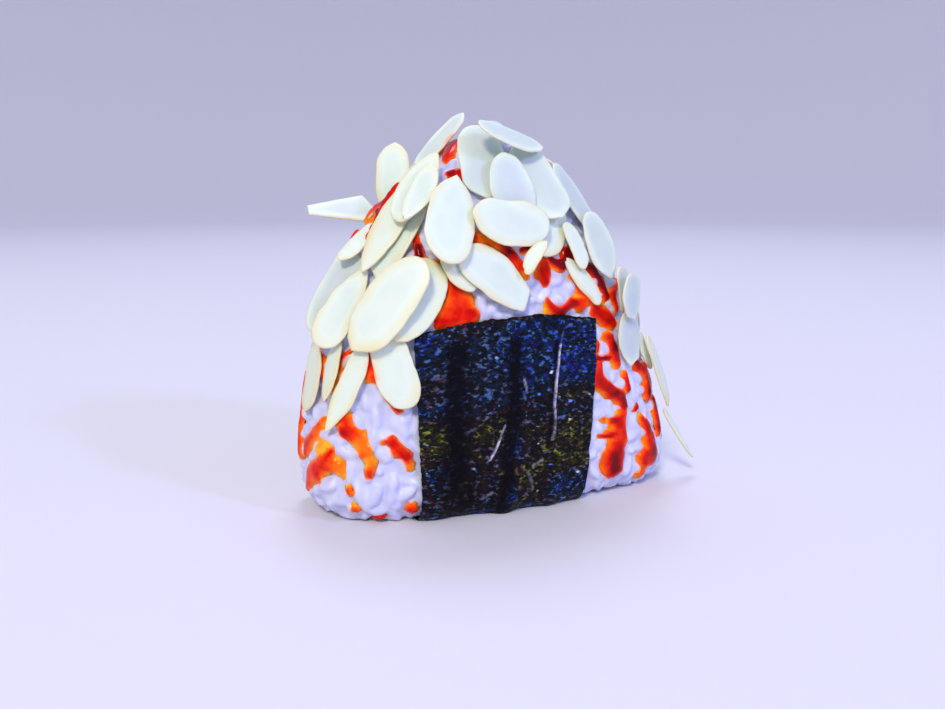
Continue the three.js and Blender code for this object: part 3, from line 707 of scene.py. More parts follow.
def toasted_nori(settings):
    """Toasted nori, pressed from shredded laver and softened by the rice: near-black, maroon and
    olive, with navy patches that are painted blue reflection, and a fibrous, crinkled face with
    painted blue sheen on its flecks, painted glints, painted highlights along its folds and painted
    shade along its bands."""
    material, tree = new_material("toasted_nori")
    # The pattern lies flat on the sheet, in mm across and down it.
    sideways = add_node(tree, "ShaderNodeAttribute", attribute_name="across").outputs["Fac"]
    down = add_node(tree, "ShaderNodeAttribute", attribute_name="down").outputs["Fac"]
    flat = add_node(tree, "ShaderNodeCombineXYZ", {0: sideways, 1: down})
    # Shreds of laver lie mostly across the strip; each has its own colour and shine.
    warp = add_node(tree, "ShaderNodeTexNoise", {"Vector": flat, "Scale": 1 / 1.1, "Detail": 3.0})
    bent = add_node(
        tree, "ShaderNodeMix", {0: 0.4, 4: flat, 5: warp.outputs["Color"]}, data_type="VECTOR"
    )
    drawn = add_node(tree, "ShaderNodeMapping", {"Vector": bent, "Scale": (0.8, 1.3, 1.0)})
    shreds = add_node(tree, "ShaderNodeTexVoronoi", {"Vector": drawn, "Scale": 1 / 0.55})
    pick = add_node(tree, "ShaderNodeSeparateColor", {"Color": shreds.outputs["Color"]})
    tone_and_reflection = add_node(tree, "ShaderNodeAttribute", attribute_name="tone_and_reflection").outputs["Fac"]
    level = add_node(
        tree, "ShaderNodeMath", {0: pick.outputs["Red"], 1: 0.4, 2: tone_and_reflection}, operation="MULTIPLY_ADD"
    )
    shifted = add_node(tree, "ShaderNodeMath", {0: level, 1: 0.2}, operation="SUBTRACT")
    # The navy and teal end of this ramp is painted blue reflection; the maroon and olive end is the
    # sheet's own colour.
    tint = add_node(
        tree, "ShaderNodeValToRGB", {"Fac": shifted}, stops=[
            (0.0, "#152068"), (0.22, "#152a46"), (0.42, "#15191f"), (0.6, "#2a0f18"),
            (0.78, "#221e0e"), (1.0, "#3c3e16")
        ]
    )
    specks = add_node(
        tree, "ShaderNodeTexNoise",
        {"Vector": drawn, "Scale": 1 / 0.75, "Detail": 4.0, "Roughness": 0.75}
    )
    amount = add_node(
        tree, "ShaderNodeMapRange",
        {"Value": specks, "From Min": 0.43, "From Max": 0.62, "To Max": 0.95}
    )
    leaf = add_node(
        tree, "ShaderNodeMix", {0: amount, 6: settings.nori_colour, 7: tint}, data_type="RGBA"
    )
    # Painted highlights: flecks about half a millimetre long, in crowds, are painted in a lighter
    # shade as sheen.
    flakes = add_node(
        tree, "ShaderNodeTexNoise",
        {"Vector": drawn, "Scale": 1 / 0.6, "Detail": 2.5, "Roughness": 0.55}
    )
    crowds = add_node(tree, "ShaderNodeTexNoise", {"Vector": flat, "Scale": 1 / 2.6, "Detail": 2.0})
    raised = add_node(
        tree, "ShaderNodeMath", {0: crowds, 1: 0.42, 2: flakes}, operation="MULTIPLY_ADD"
    )
    painted_sheen_share = add_node(
        tree, "ShaderNodeMapRange",
        {"Value": raised, "From Min": 0.755, "From Max": 0.92, "To Max": 0.8}
    )
    painted_sheen_colour = add_node(
        tree, "ShaderNodeValToRGB", {"Fac": shifted}, stops=[
            (0.0, "#2d4cd0"), (0.22, "#4c78b8"), (0.45, "#626e94"), (0.62, "#4a3452"),
            (0.8, "#76703a"), (1.0, "#98a444")
        ]
    )
    with_painted_sheen = add_node(tree, "ShaderNodeMix", {0: painted_sheen_share, 6: leaf, 7: painted_sheen_colour}, data_type="RGBA")
    # Painted glints: here and there one is painted pale, as if it caught the light in full.
    grit = add_node(tree, "ShaderNodeTexVoronoi", {"Vector": drawn, "Scale": 1 / 1.3})
    chance = add_node(tree, "ShaderNodeSeparateColor", {"Color": grit.outputs["Color"]})
    spread = add_node(
        tree, "ShaderNodeMapRange",
        {"Value": chance.outputs["Red"], "From Min": 0.55, "To Min": -0.3, "To Max": 0.0}
    )
    uneven = add_node(
        tree, "ShaderNodeMath", {0: flakes, 1: 0.5, 2: spread}, operation="MULTIPLY_ADD"
    )
    near = add_node(tree, "ShaderNodeMath", {0: uneven, 1: grit}, operation="SUBTRACT")
    painted_glint_share = add_node(
        tree, "ShaderNodeMath", {0: near, 1: 8.0}, operation="MULTIPLY", use_clamp=True
    )
    painted_glint_colour = add_node(
        tree, "ShaderNodeValToRGB", {"Fac": chance.outputs["Green"]},
        stops=[(0.1, "#4a70e0"), (0.5, "#86a8dc"), (0.95, "#e0e8f8")]
    )
    with_painted_glints = add_node(tree, "ShaderNodeMix", {0: painted_glint_share, 6: with_painted_sheen, 7: painted_glint_colour}, data_type="RGBA")
    # Painted shade: along its dark bands, in the valleys, it is almost black.
    shade_band = add_node(tree, "ShaderNodeAttribute", attribute_name="shade_band").outputs["Fac"]
    painted_shade_share = add_node(tree, "ShaderNodeMath", {0: shade_band, 1: 0.93}, operation="MULTIPLY")
    sheet = add_node(
        tree, "ShaderNodeMix", {0: painted_shade_share, 6: with_painted_glints, 7: linear("#07050c")}, data_type="RGBA"
    )
    # Painted highlight: a sharp fold is painted pale here and there along its crest.
    fold_and_highlight = add_node(tree, "ShaderNodeAttribute", attribute_name="fold_and_highlight").outputs["Fac"]
    broken = add_node(
        tree, "ShaderNodeMapRange",
        {"Value": warp, "From Min": 0.36, "From Max": 0.54, "To Min": 0.25}
    )
    crest_highlight = add_node(tree, "ShaderNodeMath", {0: fold_and_highlight, 1: broken}, operation="MULTIPLY")
    colour = add_node(
        tree, "ShaderNodeMix", {0: crest_highlight, 6: sheet, 7: linear("#e2daff")}, data_type="RGBA"
    )
    gloss = add_node(
        tree, "ShaderNodeMapRange", {"Value": pick.outputs["Green"], "To Min": 0.5, "To Max": 0.16}
    )
    height = add_node(
        tree, "ShaderNodeMath", {0: pick.outputs["Blue"], 1: 0.3, 2: specks},
        operation="MULTIPLY_ADD"
    )
    bump = add_node(
        tree, "ShaderNodeBump", {"Height": height, "Strength": 1.0, "Distance": 0.4 * MM}
    )
    surface = add_node(
        tree, "ShaderNodeBsdfPrincipled", {
            "Base Color": colour, "Roughness": gloss, "Normal": bump, "IOR": 1.5,
            "Specular IOR Level": 0.06
        }
    )
    add_node(tree, "ShaderNodeOutputMaterial", {"Surface": surface})
    return material


def sliced_almond(settings):
    """Blanched almond, cut thin: off-white and waxy, a little see-through, creamier at its rim,
    with faint lines that run from end to end."""
    material, tree = new_material("blanched_sliced_almond")
    flat = add_node(tree, "ShaderNodeTexCoord").outputs["UV"]
    drawn = add_node(tree, "ShaderNodeMapping", {"Vector": flat, "Scale": (0.25, 1.6, 1.0)})
    lines = add_node(tree, "ShaderNodeTexNoise", {"Vector": drawn, "Scale": 0.8, "Detail": 3.0})
    cloud = add_node(tree, "ShaderNodeTexNoise", {"Vector": flat, "Scale": 0.12, "Detail": 2.0})
    warmth_and_shade = add_node(tree, "ShaderNodeAttribute", attribute_name="warmth_and_shade").outputs["Fac"]
    level = add_node(tree, "ShaderNodeMath", {0: cloud, 1: 0.3, 2: warmth_and_shade}, operation="MULTIPLY_ADD")
    # The colder, greyer low end of this ramp is painted shade, for slices that lie in shade; the
    # creamy high end is the almond's own colour.
    body = add_node(
        tree, "ShaderNodeValToRGB", {"Fac": level}, stops=[
            (0.1, "#c1cbcd"), (0.35, "#ccdbd0"), (0.55, settings.almond_colour), (0.75, "#dfe2c2"),
            (1.0, "#decf96")
        ]
    )
    rim = add_node(tree, "ShaderNodeAttribute", attribute_name="rim").outputs["Fac"]
    edge = add_node(
        tree, "ShaderNodeMath", {0: rim, 1: lines}, operation="MULTIPLY", use_clamp=True
    )
    colour = add_node(
        tree, "ShaderNodeMix", {0: edge, 6: body, 7: settings.rim_colour}, data_type="RGBA"
    )
    wet = add_node(tree, "ShaderNodeAttribute", attribute_name="stain").outputs["Fac"]
    stained = add_node(
        tree, "ShaderNodeMix", {0: wet, 6: colour, 7: linear("#f08a2c")}, data_type="RGBA"
    )
    bump = add_node(
        tree, "ShaderNodeBump", {"Height": lines, "Strength": 0.12, "Distance": 0.25 * MM}
    )
    surface = add_node(
        tree, "ShaderNodeBsdfPrincipled", {
            "Base Color": stained, "Roughness": 0.42, "Normal": bump, "IOR": 1.45,
            "Subsurface Weight": 0.3, "Subsurface Radius": (1.0, 0.9, 0.75),
            "Subsurface Scale": 1.5 * MM
        }
    )
    add_node(tree, "ShaderNodeOutputMaterial", {"Surface": surface})
    return material


# ---- Rice ---------------------------------------------------------------------------------------

# Kinds of grain: shares of the set length and of the set width, across and high, and the bend.
GRAIN_KINDS = [
    (1.0, 1.0, 0.88, 0.35),
    (0.92, 1.06, 0.9, -0.25),
    (1.04, 0.94, 0.86, 0.1),
    (0.66, 1.0, 0.92, 0.0),
]
# Layers of grains: the gap between them, how much deeper each layer lies, and its seed.
GRAIN_LAYERS = [(2.7, 0.9, 21), (2.8, 0.0, 5)]
GRAIN_TRIES = 30000
GRAIN_SIZES = (0.86, 1.12)
GRAIN_LYING, GRAIN_STANDING, LYING_SHARE = (-0.3, 0.3), (0.6, 1.2), 0.85  # slopes in radians
GRAIN_UNEVEN, GRAIN_PRESSED = 0.3, 0.35  # how unevenly deep, and how much deeper under the nori
CORE_UNDER = 1.1  # how far the core lies under the ball's surface
RICE_VOXEL, RICE_TRIANGLES = 0.44, 190000
RICE_OVER_NORI = 0.65  # the height at which the rice lies flat on the strip


def make_grain(long, wide, high, bend):
    """One cooked grain, lying along X, as points and faces in mm."""
    # It is modelled at one unit to the mm.
    deselect_all()
    bpy.ops.mesh.primitive_uv_sphere_add(
        segments=10, ring_count=7, radius=0.5, rotation=(0, math.pi / 2, 0)
    )
    grain = bpy.context.active_object
    bpy.ops.object.transform_apply(location=False, rotation=True, scale=False)
    bpy.ops.object.mode_set(mode="EDIT")
    bpy.ops.mesh.select_all(action="SELECT")
    bpy.ops.transform.resize(value=(long, wide, high), center_override=(0, 0, 0))
    bpy.ops.object.mode_set(mode="OBJECT")
    apply_modifier(grain, "SIMPLE_DEFORM", deform_method="BEND", deform_axis="Z", angle=bend)
    points, faces = read_points(grain) * MM, read_faces(grain)
    bpy.data.objects.remove(grain)
    return points, faces


def scatter_places(gap, tries, seed):
    """Places all over the ball, none nearer another than the gap."""
    draw = np.random.default_rng(seed)
    places = surface_from(HEART, unit(draw.normal(size=(tries, 3))))
    cells = {}
    kept = []
    for index, place in enumerate(places):
        cell = tuple((place // gap).astype(int))
        neighbours = [
            other
            for dx in (-1, 0, 1)
            for dy in (-1, 0, 1)
            for dz in (-1, 0, 1)
            for other in cells.get((cell[0] + dx, cell[1] + dy, cell[2] + dz), ())
        ]
        if all(np.linalg.norm(place - places[other]) > gap for other in neighbours):
            cells.setdefault(cell, []).append(index)
            kept.append(index)
    return places[kept]


def lay_grains(kinds, gap, deeper, seed):
    """Grains over the ball with their tops near its surface, as one set of points and faces."""
    places = scatter_places(gap, GRAIN_TRIES, seed)
    normals = normals_at(places)
    covered = under_nori(places, 1.5)
    draw = np.random.default_rng(seed + 1)
    points, faces, count = [], [], 0
    for place, normal, cover in zip(places, normals, covered):
        shape, shape_faces = kinds[draw.integers(len(kinds))]
        loose = draw.normal(size=3)
        flat = loose - normal * (loose @ normal)
        flat /= np.linalg.norm(flat)
        slopes = GRAIN_LYING if draw.random() < LYING_SHARE else GRAIN_STANDING
        rise = draw.uniform(*slopes)
        axis = flat * math.cos(rise) + normal * math.sin(rise)
        side = np.cross(normal, flat)
        face = np.cross(axis, side)
        local = shape * draw.uniform(*GRAIN_SIZES)
        turned = local @ np.stack([axis, side, face])
        top = (turned @ normal).max()
        sink = top + deeper + draw.uniform(-GRAIN_UNEVEN, GRAIN_UNEVEN) + GRAIN_PRESSED * cover
        points.append(turned + place - normal * sink)
        faces += [tuple(i + count for i in f) for f in shape_faces]
        count += len(local)
    return np.concatenate(points), faces


def make_rice(settings):
    """Grains laid over a core and joined to one skin, which takes in the sauce that lies on it."""
    long, wide = settings.grain_length / MM, settings.grain_width / MM
    kinds = [make_grain(long * x, wide * y, wide * z, bend) for x, y, z, bend in GRAIN_KINDS]
    deselect_all()
    bpy.ops.mesh.primitive_ico_sphere_add(subdivisions=6, radius=MM)
    core = bpy.context.active_object
    sets = [(surface_from(HEART, unit(read_points(core)), -CORE_UNDER), read_faces(core))]
    bpy.data.objects.remove(core)
    sets += [lay_grains(kinds, *layer) for layer in GRAIN_LAYERS]
    points, faces, count = [], [], 0
    for some_points, some_faces in sets:
        points.append(some_points)
        faces += [tuple(i + count for i in f) for f in some_faces]
        count += len(some_points)
    rice = mesh_from("pressed_rice", press_down(np.concatenate(points)), faces)
    apply_modifier(rice, "REMESH", mode="VOXEL", voxel_size=RICE_VOXEL * MM)
    apply_modifier(rice, "SMOOTH", factor=0.5, iterations=3)
    triangles = 2 * len(rice.data.polygons)
    apply_modifier(rice, "DECIMATE", ratio=min(1.0, RICE_TRIANGLES / triangles))
    keep_main_part(rice)
    points = press_down(read_points(rice))
    write_points(rice, points)
    smooth_shade(rice)
    inside, share, _, red = sauce_at(points).T
    store(rice, "stain", smoothstep(-0.5, 0.5, inside))
    store(rice, "red", sauce_redness(share, red))
    finish_piece(rice, cooked_rice(settings), "rice", "rice")


def press_down(points):
    """The rice is flat where it stands on the plane, and on the nori under it."""
    points = points.copy()
    low = np.where(under_nori(points, 0.5) > 0.5, RICE_OVER_NORI, 0.0)
    points[:, 2] = np.maximum(points[:, 2], low)
    return points


# ---- Sauce --------------------------------------------------------------------------------------


def make_sauce(settings):
    """A sheet that lies where sauce does, swollen by its depth and sunk among the grains at its
    edges, then closed underneath."""
    deselect_all()
    bpy.ops.mesh.primitive_ico_sphere_add(subdivisions=7, radius=MM)
    sheet = bpy.context.active_object
    sheet.name = "chilli_sauce"
    points = surface_from(HEART, unit(read_points(sheet)))
    write_points(sheet, points)
    inside = sauce_at(points)[:, 0]
    select_points(sheet, (inside < -SAUCE_REACH) | (points[:, 2] < 0.1))
    bpy.ops.mesh.delete(type="VERT")
    bpy.ops.object.mode_set(mode="OBJECT")
    points = read_points(sheet)
    inside, share, depth, red = sauce_at(points).T
    scale = settings.sauce_depth / MM
    # Outside a run it is sunk under the grains, and inside it stands up to the run's depth.
    swell = smoothstep(-0.8, 0.9, inside)
    level = -SAUCE_SUNK + (depth * scale + SAUCE_SUNK) * swell
    level += 0.12 * unevenness(points, 1.8, 4) * swell
    # It stays low where the strip covers it.
    covered = under_nori(points, 0.6)
    level = np.where(covered > 0, np.minimum(level, 0.25 + 2 * (1 - covered)), level)
    write_points(sheet, points + normals_at(points) * level[:, None])
    store(sheet, "red", sauce_redness(share, red))
    apply_modifier(sheet, "SMOOTH", factor=0.5, iterations=1)
    apply_modifier(sheet, "SOLIDIFY", thickness=SAUCE_WALL * MM, offset=-1.0)
    points = read_points(sheet)
    points[:, 2] = np.maximum(points[:, 2], 0.0)
    write_points(sheet, points)
    smooth_shade(sheet)
    finish_piece(sheet, chilli_sauce(settings), "sauce")


# ---- Nori ---------------------------------------------------------------------------------------


def make_nori(settings):
    """A grid laid round the ball, with its creases, folds and crinkles, and given its thickness."""
    deselect_all()
    bpy.ops.mesh.primitive_grid_add(x_subdivisions=NORI_COLUMNS, y_subdivisions=NORI_ROWS, size=1)
    strip = bpy.context.active_object
    strip.name = "nori_strip"
    grid = read_points(strip) * MM
    across, along = grid[:, 0] * 2, 0.5 - grid[:, 1]
    # Its cut edges are a little ragged.
    down = down_strip(along)
    flat = np.zeros(len(along))
    edge = np.stack([down, np.sign(across) * 5, flat], 1)
    ragged = 0.22 * unevenness(edge, 2.2, 3) + 0.16 * unevenness(edge, 0.8, 6)
    middle, half = nori_row(along)
    x = middle + across * (half + ragged * np.abs(across) ** 8)
    end = np.stack([x, np.sign(along - 0.5) * 5, flat], 1)
    frayed = (0.12 * unevenness(end, 3.0, 8) + 0.08 * unevenness(end, 0.9, 9)) / down.max()
    along = along + frayed * np.abs(2 * along - 1) ** 24
    points = nori_places(x, along)
    lift = np.zeros(len(x))
    for middle, high, width, begin in CREASES:
        off = (x - NORI_MIDDLE - middle + 0.5 * np.sin(along * 21)) / width
        lift += high * np.exp(-off * off) * smoothstep(begin, begin + 0.2, along)
    lift *= 1 - smoothstep(*CREASES_END, along)
    paper = np.stack([x, down, flat], 1)
    for high, size, drawn_out, seed in NORI_CRINKLES:
        lift += high * unevenness(paper * (1.0, drawn_out, 1.0), size, seed)
    wander = 0.5 * unevenness(paper, 5.0, 13)
    # Its folds stand up, and their crests also carry a painted highlight.
    fold_and_highlight = stroke(x - NORI_MIDDLE + wander, paper[:, 1], NORI_FOLDS)
    # The bands are sunk a little, and painted shade lies along them.
    shade_band = stroke(x - NORI_MIDDLE + wander, paper[:, 1] + wander, NORI_SHADE_BANDS)
    lift += FOLD_HIGH * fold_and_highlight - BAND_DEEP * shade_band
    points += normals_at(points) * (NORI_OUTSIDE + lift)[:, None]
    points[:, 2] = np.maximum(points[:, 2], 0.0)
    write_points(strip, points)
    store(strip, "shade_band", shade_band)
    store(strip, "fold_and_highlight", fold_and_highlight)
    # Each patch draws the tone its way, and away from all of them it is the middle one.
    total = np.full(len(x), 0.12)
    tone_and_reflection = 0.5 * total
    for place, below, half, tall, value in NORI_TONES:
        off = ((x - NORI_MIDDLE - place) / half) ** 2 + ((down - below) / tall) ** 2
        tone_and_reflection += value * np.exp(-off)
        total += np.exp(-off)
    tone_and_reflection = tone_and_reflection / total + 0.17 * unevenness(paper, 5.0, 14) + 0.15 * unevenness(paper, 2.0, 15)
    tone_and_reflection = np.where(down < 0.7, 0.8, tone_and_reflection)  # the torn edge is olive
    store(strip, "tone_and_reflection", np.clip(tone_and_reflection, 0, 1))
    store(strip, "across", x)
    store(strip, "down", down)
    apply_modifier(strip, "SOLIDIFY", thickness=settings.nori_thickness, offset=-1.0)
    smooth_shade(strip)
    finish_piece(strip, toasted_nori(settings), "nori", "nori")


# ---- Almonds ------------------------------------------------------------------------------------

SLICE_LONG, SLICE_WIDE, SLICE_THICK = 20.0, 10.0, 1.0
SLICE_RINGS = (0.97, 0.93, 0.84, 0.68, 0.45, 0.22)  # shares of its size, from its rim inwards
EDGE_THICK, EDGE_SOFT = 0.45, 0.3  # its share of the thickness at its edge, and how far in
FULLER, CRESCENT = 0.12, 0.9  # the most that one end is wider, as a share, and its bend in mm
CHIP_DEPTHS, CHIP_HALF_ANGLE = (0.0, 0.07, 0.12), 0.16
SNAPPED_TIP, TIP_FROM = 0.07, 0.6  # how far aside a broken tip points, and where a tip begins
# Slices whose outline is known; the others' are drawn by lot.
SLICE_KINDS = {
    "wedge": "shard", "over_nori": "oval", "cap": "oval", "spire": "oval", "ear_left": "oval",
    "crown_front": "oval", "centre_tall": "whole", "left_shoulder": "oval",
    "low_left_outer": "oval", "centre_flat": "oval"
}
# These are paler and colder than the others: painted shade, for the slices that lie in shade.
PAINTED_SHADE_SLICES = (
    "wedge", "cap", "spire", "crown_front", "crown_right", "right_face_high", "right_edge",
    "right_middle", "right_low_wide", "ear_right", "left_shoulder"
)


def curve(start, first, second, end, steps=12):
    """Places along a Bezier curve, without its last one."""
    t = np.linspace(0, 1, steps, endpoint=False)[:, None]
    points = [np.array(p, float) for p in (start, first, second, end)]
    weights = ((1 - t) ** 3, 3 * t * (1 - t) ** 2, 3 * t * t * (1 - t), t**3)
    return sum(weight * point for weight, point in zip(weights, points))


def slice_outline(tip_fullness):
    """The outline of a slice that fills -1 to 1 both ways: round at -X, and at +X as pointed as
    the fullness of its tip says."""
    near, low = 0.45 + tip_fullness * 0.25, -0.42 - 0.3 * tip_fullness
    lower = [
        curve((-1, 0), (-1, -0.7), (-0.62, -1), (-0.08, -1)),
        curve((-0.08, -1), (near, -1), (0.84, low), (1, 0)),
    ]
    lower = np.concatenate(lower)
    upper = lower[:0:-1] * (1, -1)
    return np.concatenate([lower, [[1, 0]], upper])


def snapped_outline():
    """A slice whose narrow end is broken off."""
    outline = slice_outline(0.2)
    limit = 0.76 - 0.1 * outline[:, 1]
    outline[:, 0] = np.minimum(outline[:, 0], limit)
    outline[:, 0] = (outline[:, 0] + 1) * 2 / (outline[:, 0].max() + 1) - 1
    return outline


def shard_outline():
    """A piece with two straight sides that narrow to a blunt end."""
    corners = np.array([(-1, 1), (-1, -1), (0.86, -0.75), (1, -0.15), (-0.3, 0.8)], float)
    steps = np.linspace(0, 1, 9, endpoint=False)[:, None]
    following = np.roll(corners, -1, axis=0)
    return np.concatenate([a + (b - a) * steps for a, b in zip(corners, following)])


def make_slice(outline):
    """One slice, flat in XY: its points in mm, faces, and how near each point is to its rim."""
    deselect_all()
    bpy.ops.mesh.primitive_circle_add(vertices=len(outline), radius=MM, fill_type="NGON")
    plate = bpy.context.active_object
    boundary = outline * (SLICE_LONG / 2, SLICE_WIDE / 2)
    write_points(plate, np.column_stack([boundary, np.zeros(len(boundary))]))
    bpy.ops.object.mode_set(mode="EDIT")
    bpy.ops.mesh.select_mode(type="FACE")
    bpy.ops.mesh.select_all(action="SELECT")
    bpy.ops.mesh.normals_make_consistent(inside=False)
    before = 1.0
    for scale in SLICE_RINGS:
        bpy.ops.mesh.inset(thickness=0)
        ratio = scale / before
        bpy.ops.transform.resize(value=(ratio, ratio, 1), center_override=(0, 0, 0))
        before = scale
    bpy.ops.mesh.poke()
    bpy.ops.object.mode_set(mode="OBJECT")
    apply_modifier(plate, "SOLIDIFY", thickness=SLICE_THICK * MM, offset=0.0)
    points, faces = read_points(plate), read_faces(plate)
    bpy.data.objects.remove(plate)
    # Its cut edge is softened over the outer rings.
    line = np.roll(boundary, -1, axis=0) - boundary
    offset = points[:, None, :2] - boundary[None]
    along = np.clip((offset * line).sum(2) / np.maximum((line * line).sum(1), 1e-9), 0, 1)
    depth = np.linalg.norm(offset - along[..., None] * line, axis=2).min(1)
    points[:, 2] *= EDGE_THICK + (1 - EDGE_THICK) * smoothstep(-0.02, EDGE_SOFT, depth)
    return points, faces, depth


def read_plate(node):
    """A slice's solid as its centre, its long, cross and face directions, its three sizes, and
    whether its narrow end is broken off."""
    points = np.unique(np.round(read_points(frame["nodes"][node]), 3), axis=0)
    centre = points.mean(0)
    _, _, (axis, _, face) = np.linalg.svd(points - centre, full_matrices=False)
    ends = {}
    for way in (1, -1):
        side = np.cross(face, axis * way)
        local = (points - centre) @ np.stack([axis * way, side], 1)
        local[:, 1] -= (local[:, 1].max() + local[:, 1].min()) / 2
        tip = local[local[:, 0].argmax()]
        bulk = np.abs(local[local[:, 0] > tip[0] * TIP_FROM][:, 1]).mean()
        ends[way] = (abs(tip[1]) / np.ptp(local[:, 1]), bulk)
    snapped = max(ends[1][0], ends[-1][0]) > SNAPPED_TIP
    if snapped:
        narrow = max(ends, key=lambda way: ends[way][0])
    else:
        narrow = min(ends, key=lambda way: ends[way][1])
    axis = axis * narrow
    side = np.cross(face, axis)
    # The true length runs from the round end through the middle of the widest place.
    offset = points - centre
    heel = offset[(offset @ axis).argmin()]
    widest = (offset[(offset @ side).argmax()] + offset[(offset @ side).argmin()]) / 2
    axis = widest - heel
    axis -= face * (axis @ face)
    axis /= np.linalg.norm(axis)
    axes = np.stack([axis, np.cross(face, axis), face])
    local = offset @ axes.T
    middle = (local.max(0) + local.min(0)) / 2
    return centre + middle @ axes, axes, np.ptp(local, axis=0), snapped


def make_almonds(settings):
    """One slice in the place and size of each slice's solid, no two of them alike."""
    kinds = {
        "whole": make_slice(slice_outline(0.1)),
        "oval": make_slice(slice_outline(1.0)),
        "snapped": make_slice(snapped_outline()),
        "shard": make_slice(shard_outline()),
    }
    material = sliced_almond(settings)
    draw = np.random.default_rng(17)
    for node in sorted(n for n in frame["nodes"] if n.startswith("almond_")):
        name = node.removeprefix("almond_")
        centre, axes, size, snapped = read_plate(node)
        kind = "snapped" if snapped else ("oval" if draw.random() < 0.3 else "whole")
        kind = SLICE_KINDS.get(name, kind)
        points, faces, depth = kinds[kind]
        local = points * (size / (SLICE_LONG, SLICE_WIDE, SLICE_THICK))
        seed = int(draw.integers(1000))
        share = local[:, :2] / (size[:2] / 2)
        # A piece with straight sides keeps them.
        loose = 0.15 if kind == "shard" else 1.0
        wobble = 0.5 * unevenness(local * (1, 1, 0), 6.0, seed)
        wobble = loose * (wobble + 0.2 * unevenness(local * (1, 1, 0), 2.0, seed))
        local[:, :2] += wobble[:, None] * share
        # Each is fuller to one end, a little crescent, and some have a chipped edge.
        local[:, 1] *= 1 + loose * draw.uniform(-FULLER, FULLER) * share[:, 0]
        local[:, 1] += loose * draw.uniform(-CRESCENT, CRESCENT) * (share[:, 0] ** 2 - 0.3)
        aside = np.arctan2(share[:, 1], share[:, 0]) - draw.uniform(-3, 3)
        chip = loose * draw.choice(CHIP_DEPTHS) * np.exp(-((aside / CHIP_HALF_ANGLE) ** 2))
        local[:, :2] *= 1 - chip[:, None] * (share**2)
        # It thins towards its rim, and curls as it dries.
        local[:, 2] *= 0.7 - 0.15 * (share**2).sum(1).clip(0, 1)
        curl_long, curl_wide = draw.uniform(-0.3, 0.1), draw.uniform(-0.2, 0.1)
        local[:, 2] += curl_long * share[:, 0] ** 2 + curl_wide * share[:, 1] ** 2
        local[:, 2] += 0.12 * unevenness(local * (1, 1, 0), 4.0, seed + 1)
        piece = mesh_from("almond_slice_" + name, local @ axes + centre, faces)
        corners = np.array([i for face in faces for i in face])
        layer = piece.data.uv_layers.new(name="flat")
        layer.data.foreach_set("uv", (local[corners, :2] + seed).ravel())
        store(piece, "rim", 1 - smoothstep(0.0, 0.5, depth))
        side = 0.5 + 0.5 * unevenness(local * (1, 1, 0), 7.0, seed + 2)
        # Slices in shade are painted colder and greyer as painted shade; the others are creamier,
        # each by its own random share.
        warmth_and_shade = draw.uniform(0.0, 0.15) + (0.0 if name in PAINTED_SHADE_SLICES else 0.32)
        warmth_and_shade += 0.45 * side * (1 - smoothstep(0.2, 3.0, depth))
        store(piece, "warmth_and_shade", warmth_and_shade)
        inside = sauce_at(read_points(piece))[:, 0]
        near_rim = 1 - smoothstep(0.6, 2.8, depth)
        store(piece, "stain", 0.7 * smoothstep(0.1, 1.2, inside) * near_rim)
        smooth_shade(piece)
        finish_piece(piece, material, "almond", node)


# ---- Stage --------------------------------------------------------------------------------------


def view_direction(azimuth, elevation):
    turn, tilt = math.radians(azimuth), math.radians(elevation)
    level = math.cos(tilt)
    return Vector((-math.sin(turn) * level, math.cos(turn) * level, -math.sin(tilt)))


def add_soft_light(name, place, size, power, colour):
    bpy.ops.object.light_add(type="AREA", location=place)
    light = bpy.context.active_object
    light.name = name
    light.data.shape = "DISK"
    light.data.size = size
    light.data.energy = power
    light.data.color = linear(colour)[:3]
    towards = LIGHTS_AIM - Vector(place)
    light.rotation_euler = towards.to_track_quat("-Z", "Y").to_euler()


def make_floor(colour):
    """A wide floor whose rim sweeps up all round, so that it has no horizon."""
    deselect_all()
    bpy.ops.mesh.primitive_circle_add(vertices=128, radius=FLOOR_RADIUS, fill_type="NGON")
    floor = bpy.context.active_object
    floor.name = "studio_floor"
    bpy.ops.object.mode_set(mode="EDIT")
    bpy.ops.mesh.select_all(action="SELECT")
    bpy.ops.mesh.select_mode(type="EDGE")
    bpy.ops.mesh.region_to_loop()
    for step in range(1, FLOOR_STEPS + 1):
        turn = math.radians(90 * step / FLOOR_STEPS)
        before = math.radians(90 * (step - 1) / FLOOR_STEPS)
        outer = FLOOR_RADIUS + FLOOR_SWEEP * math.sin(turn)
        inner = FLOOR_RADIUS + FLOOR_SWEEP * math.sin(before)
        rise = FLOOR_SWEEP * (math.cos(before) - math.cos(turn))
        bpy.ops.mesh.extrude_edges_move(TRANSFORM_OT_translate={"value": (0, 0, rise)})
        scale = outer / inner
        bpy.ops.transform.resize(value=(scale, scale, 1), center_override=(0, 0, 0))
    bpy.ops.mesh.select_all(action="SELECT")
    bpy.ops.mesh.normals_make_consistent(inside=True)
    bpy.ops.object.mode_set(mode="OBJECT")
    smooth_shade(floor)
    material, tree = new_material("painted_studio_floor")
    surface = add_node(
        tree, "ShaderNodeBsdfPrincipled", {"Base Color": linear(colour), "Roughness": 0.8}
    )
    add_node(tree, "ShaderNodeOutputMaterial", {"Surface": surface})
    floor.data.materials.append(material)


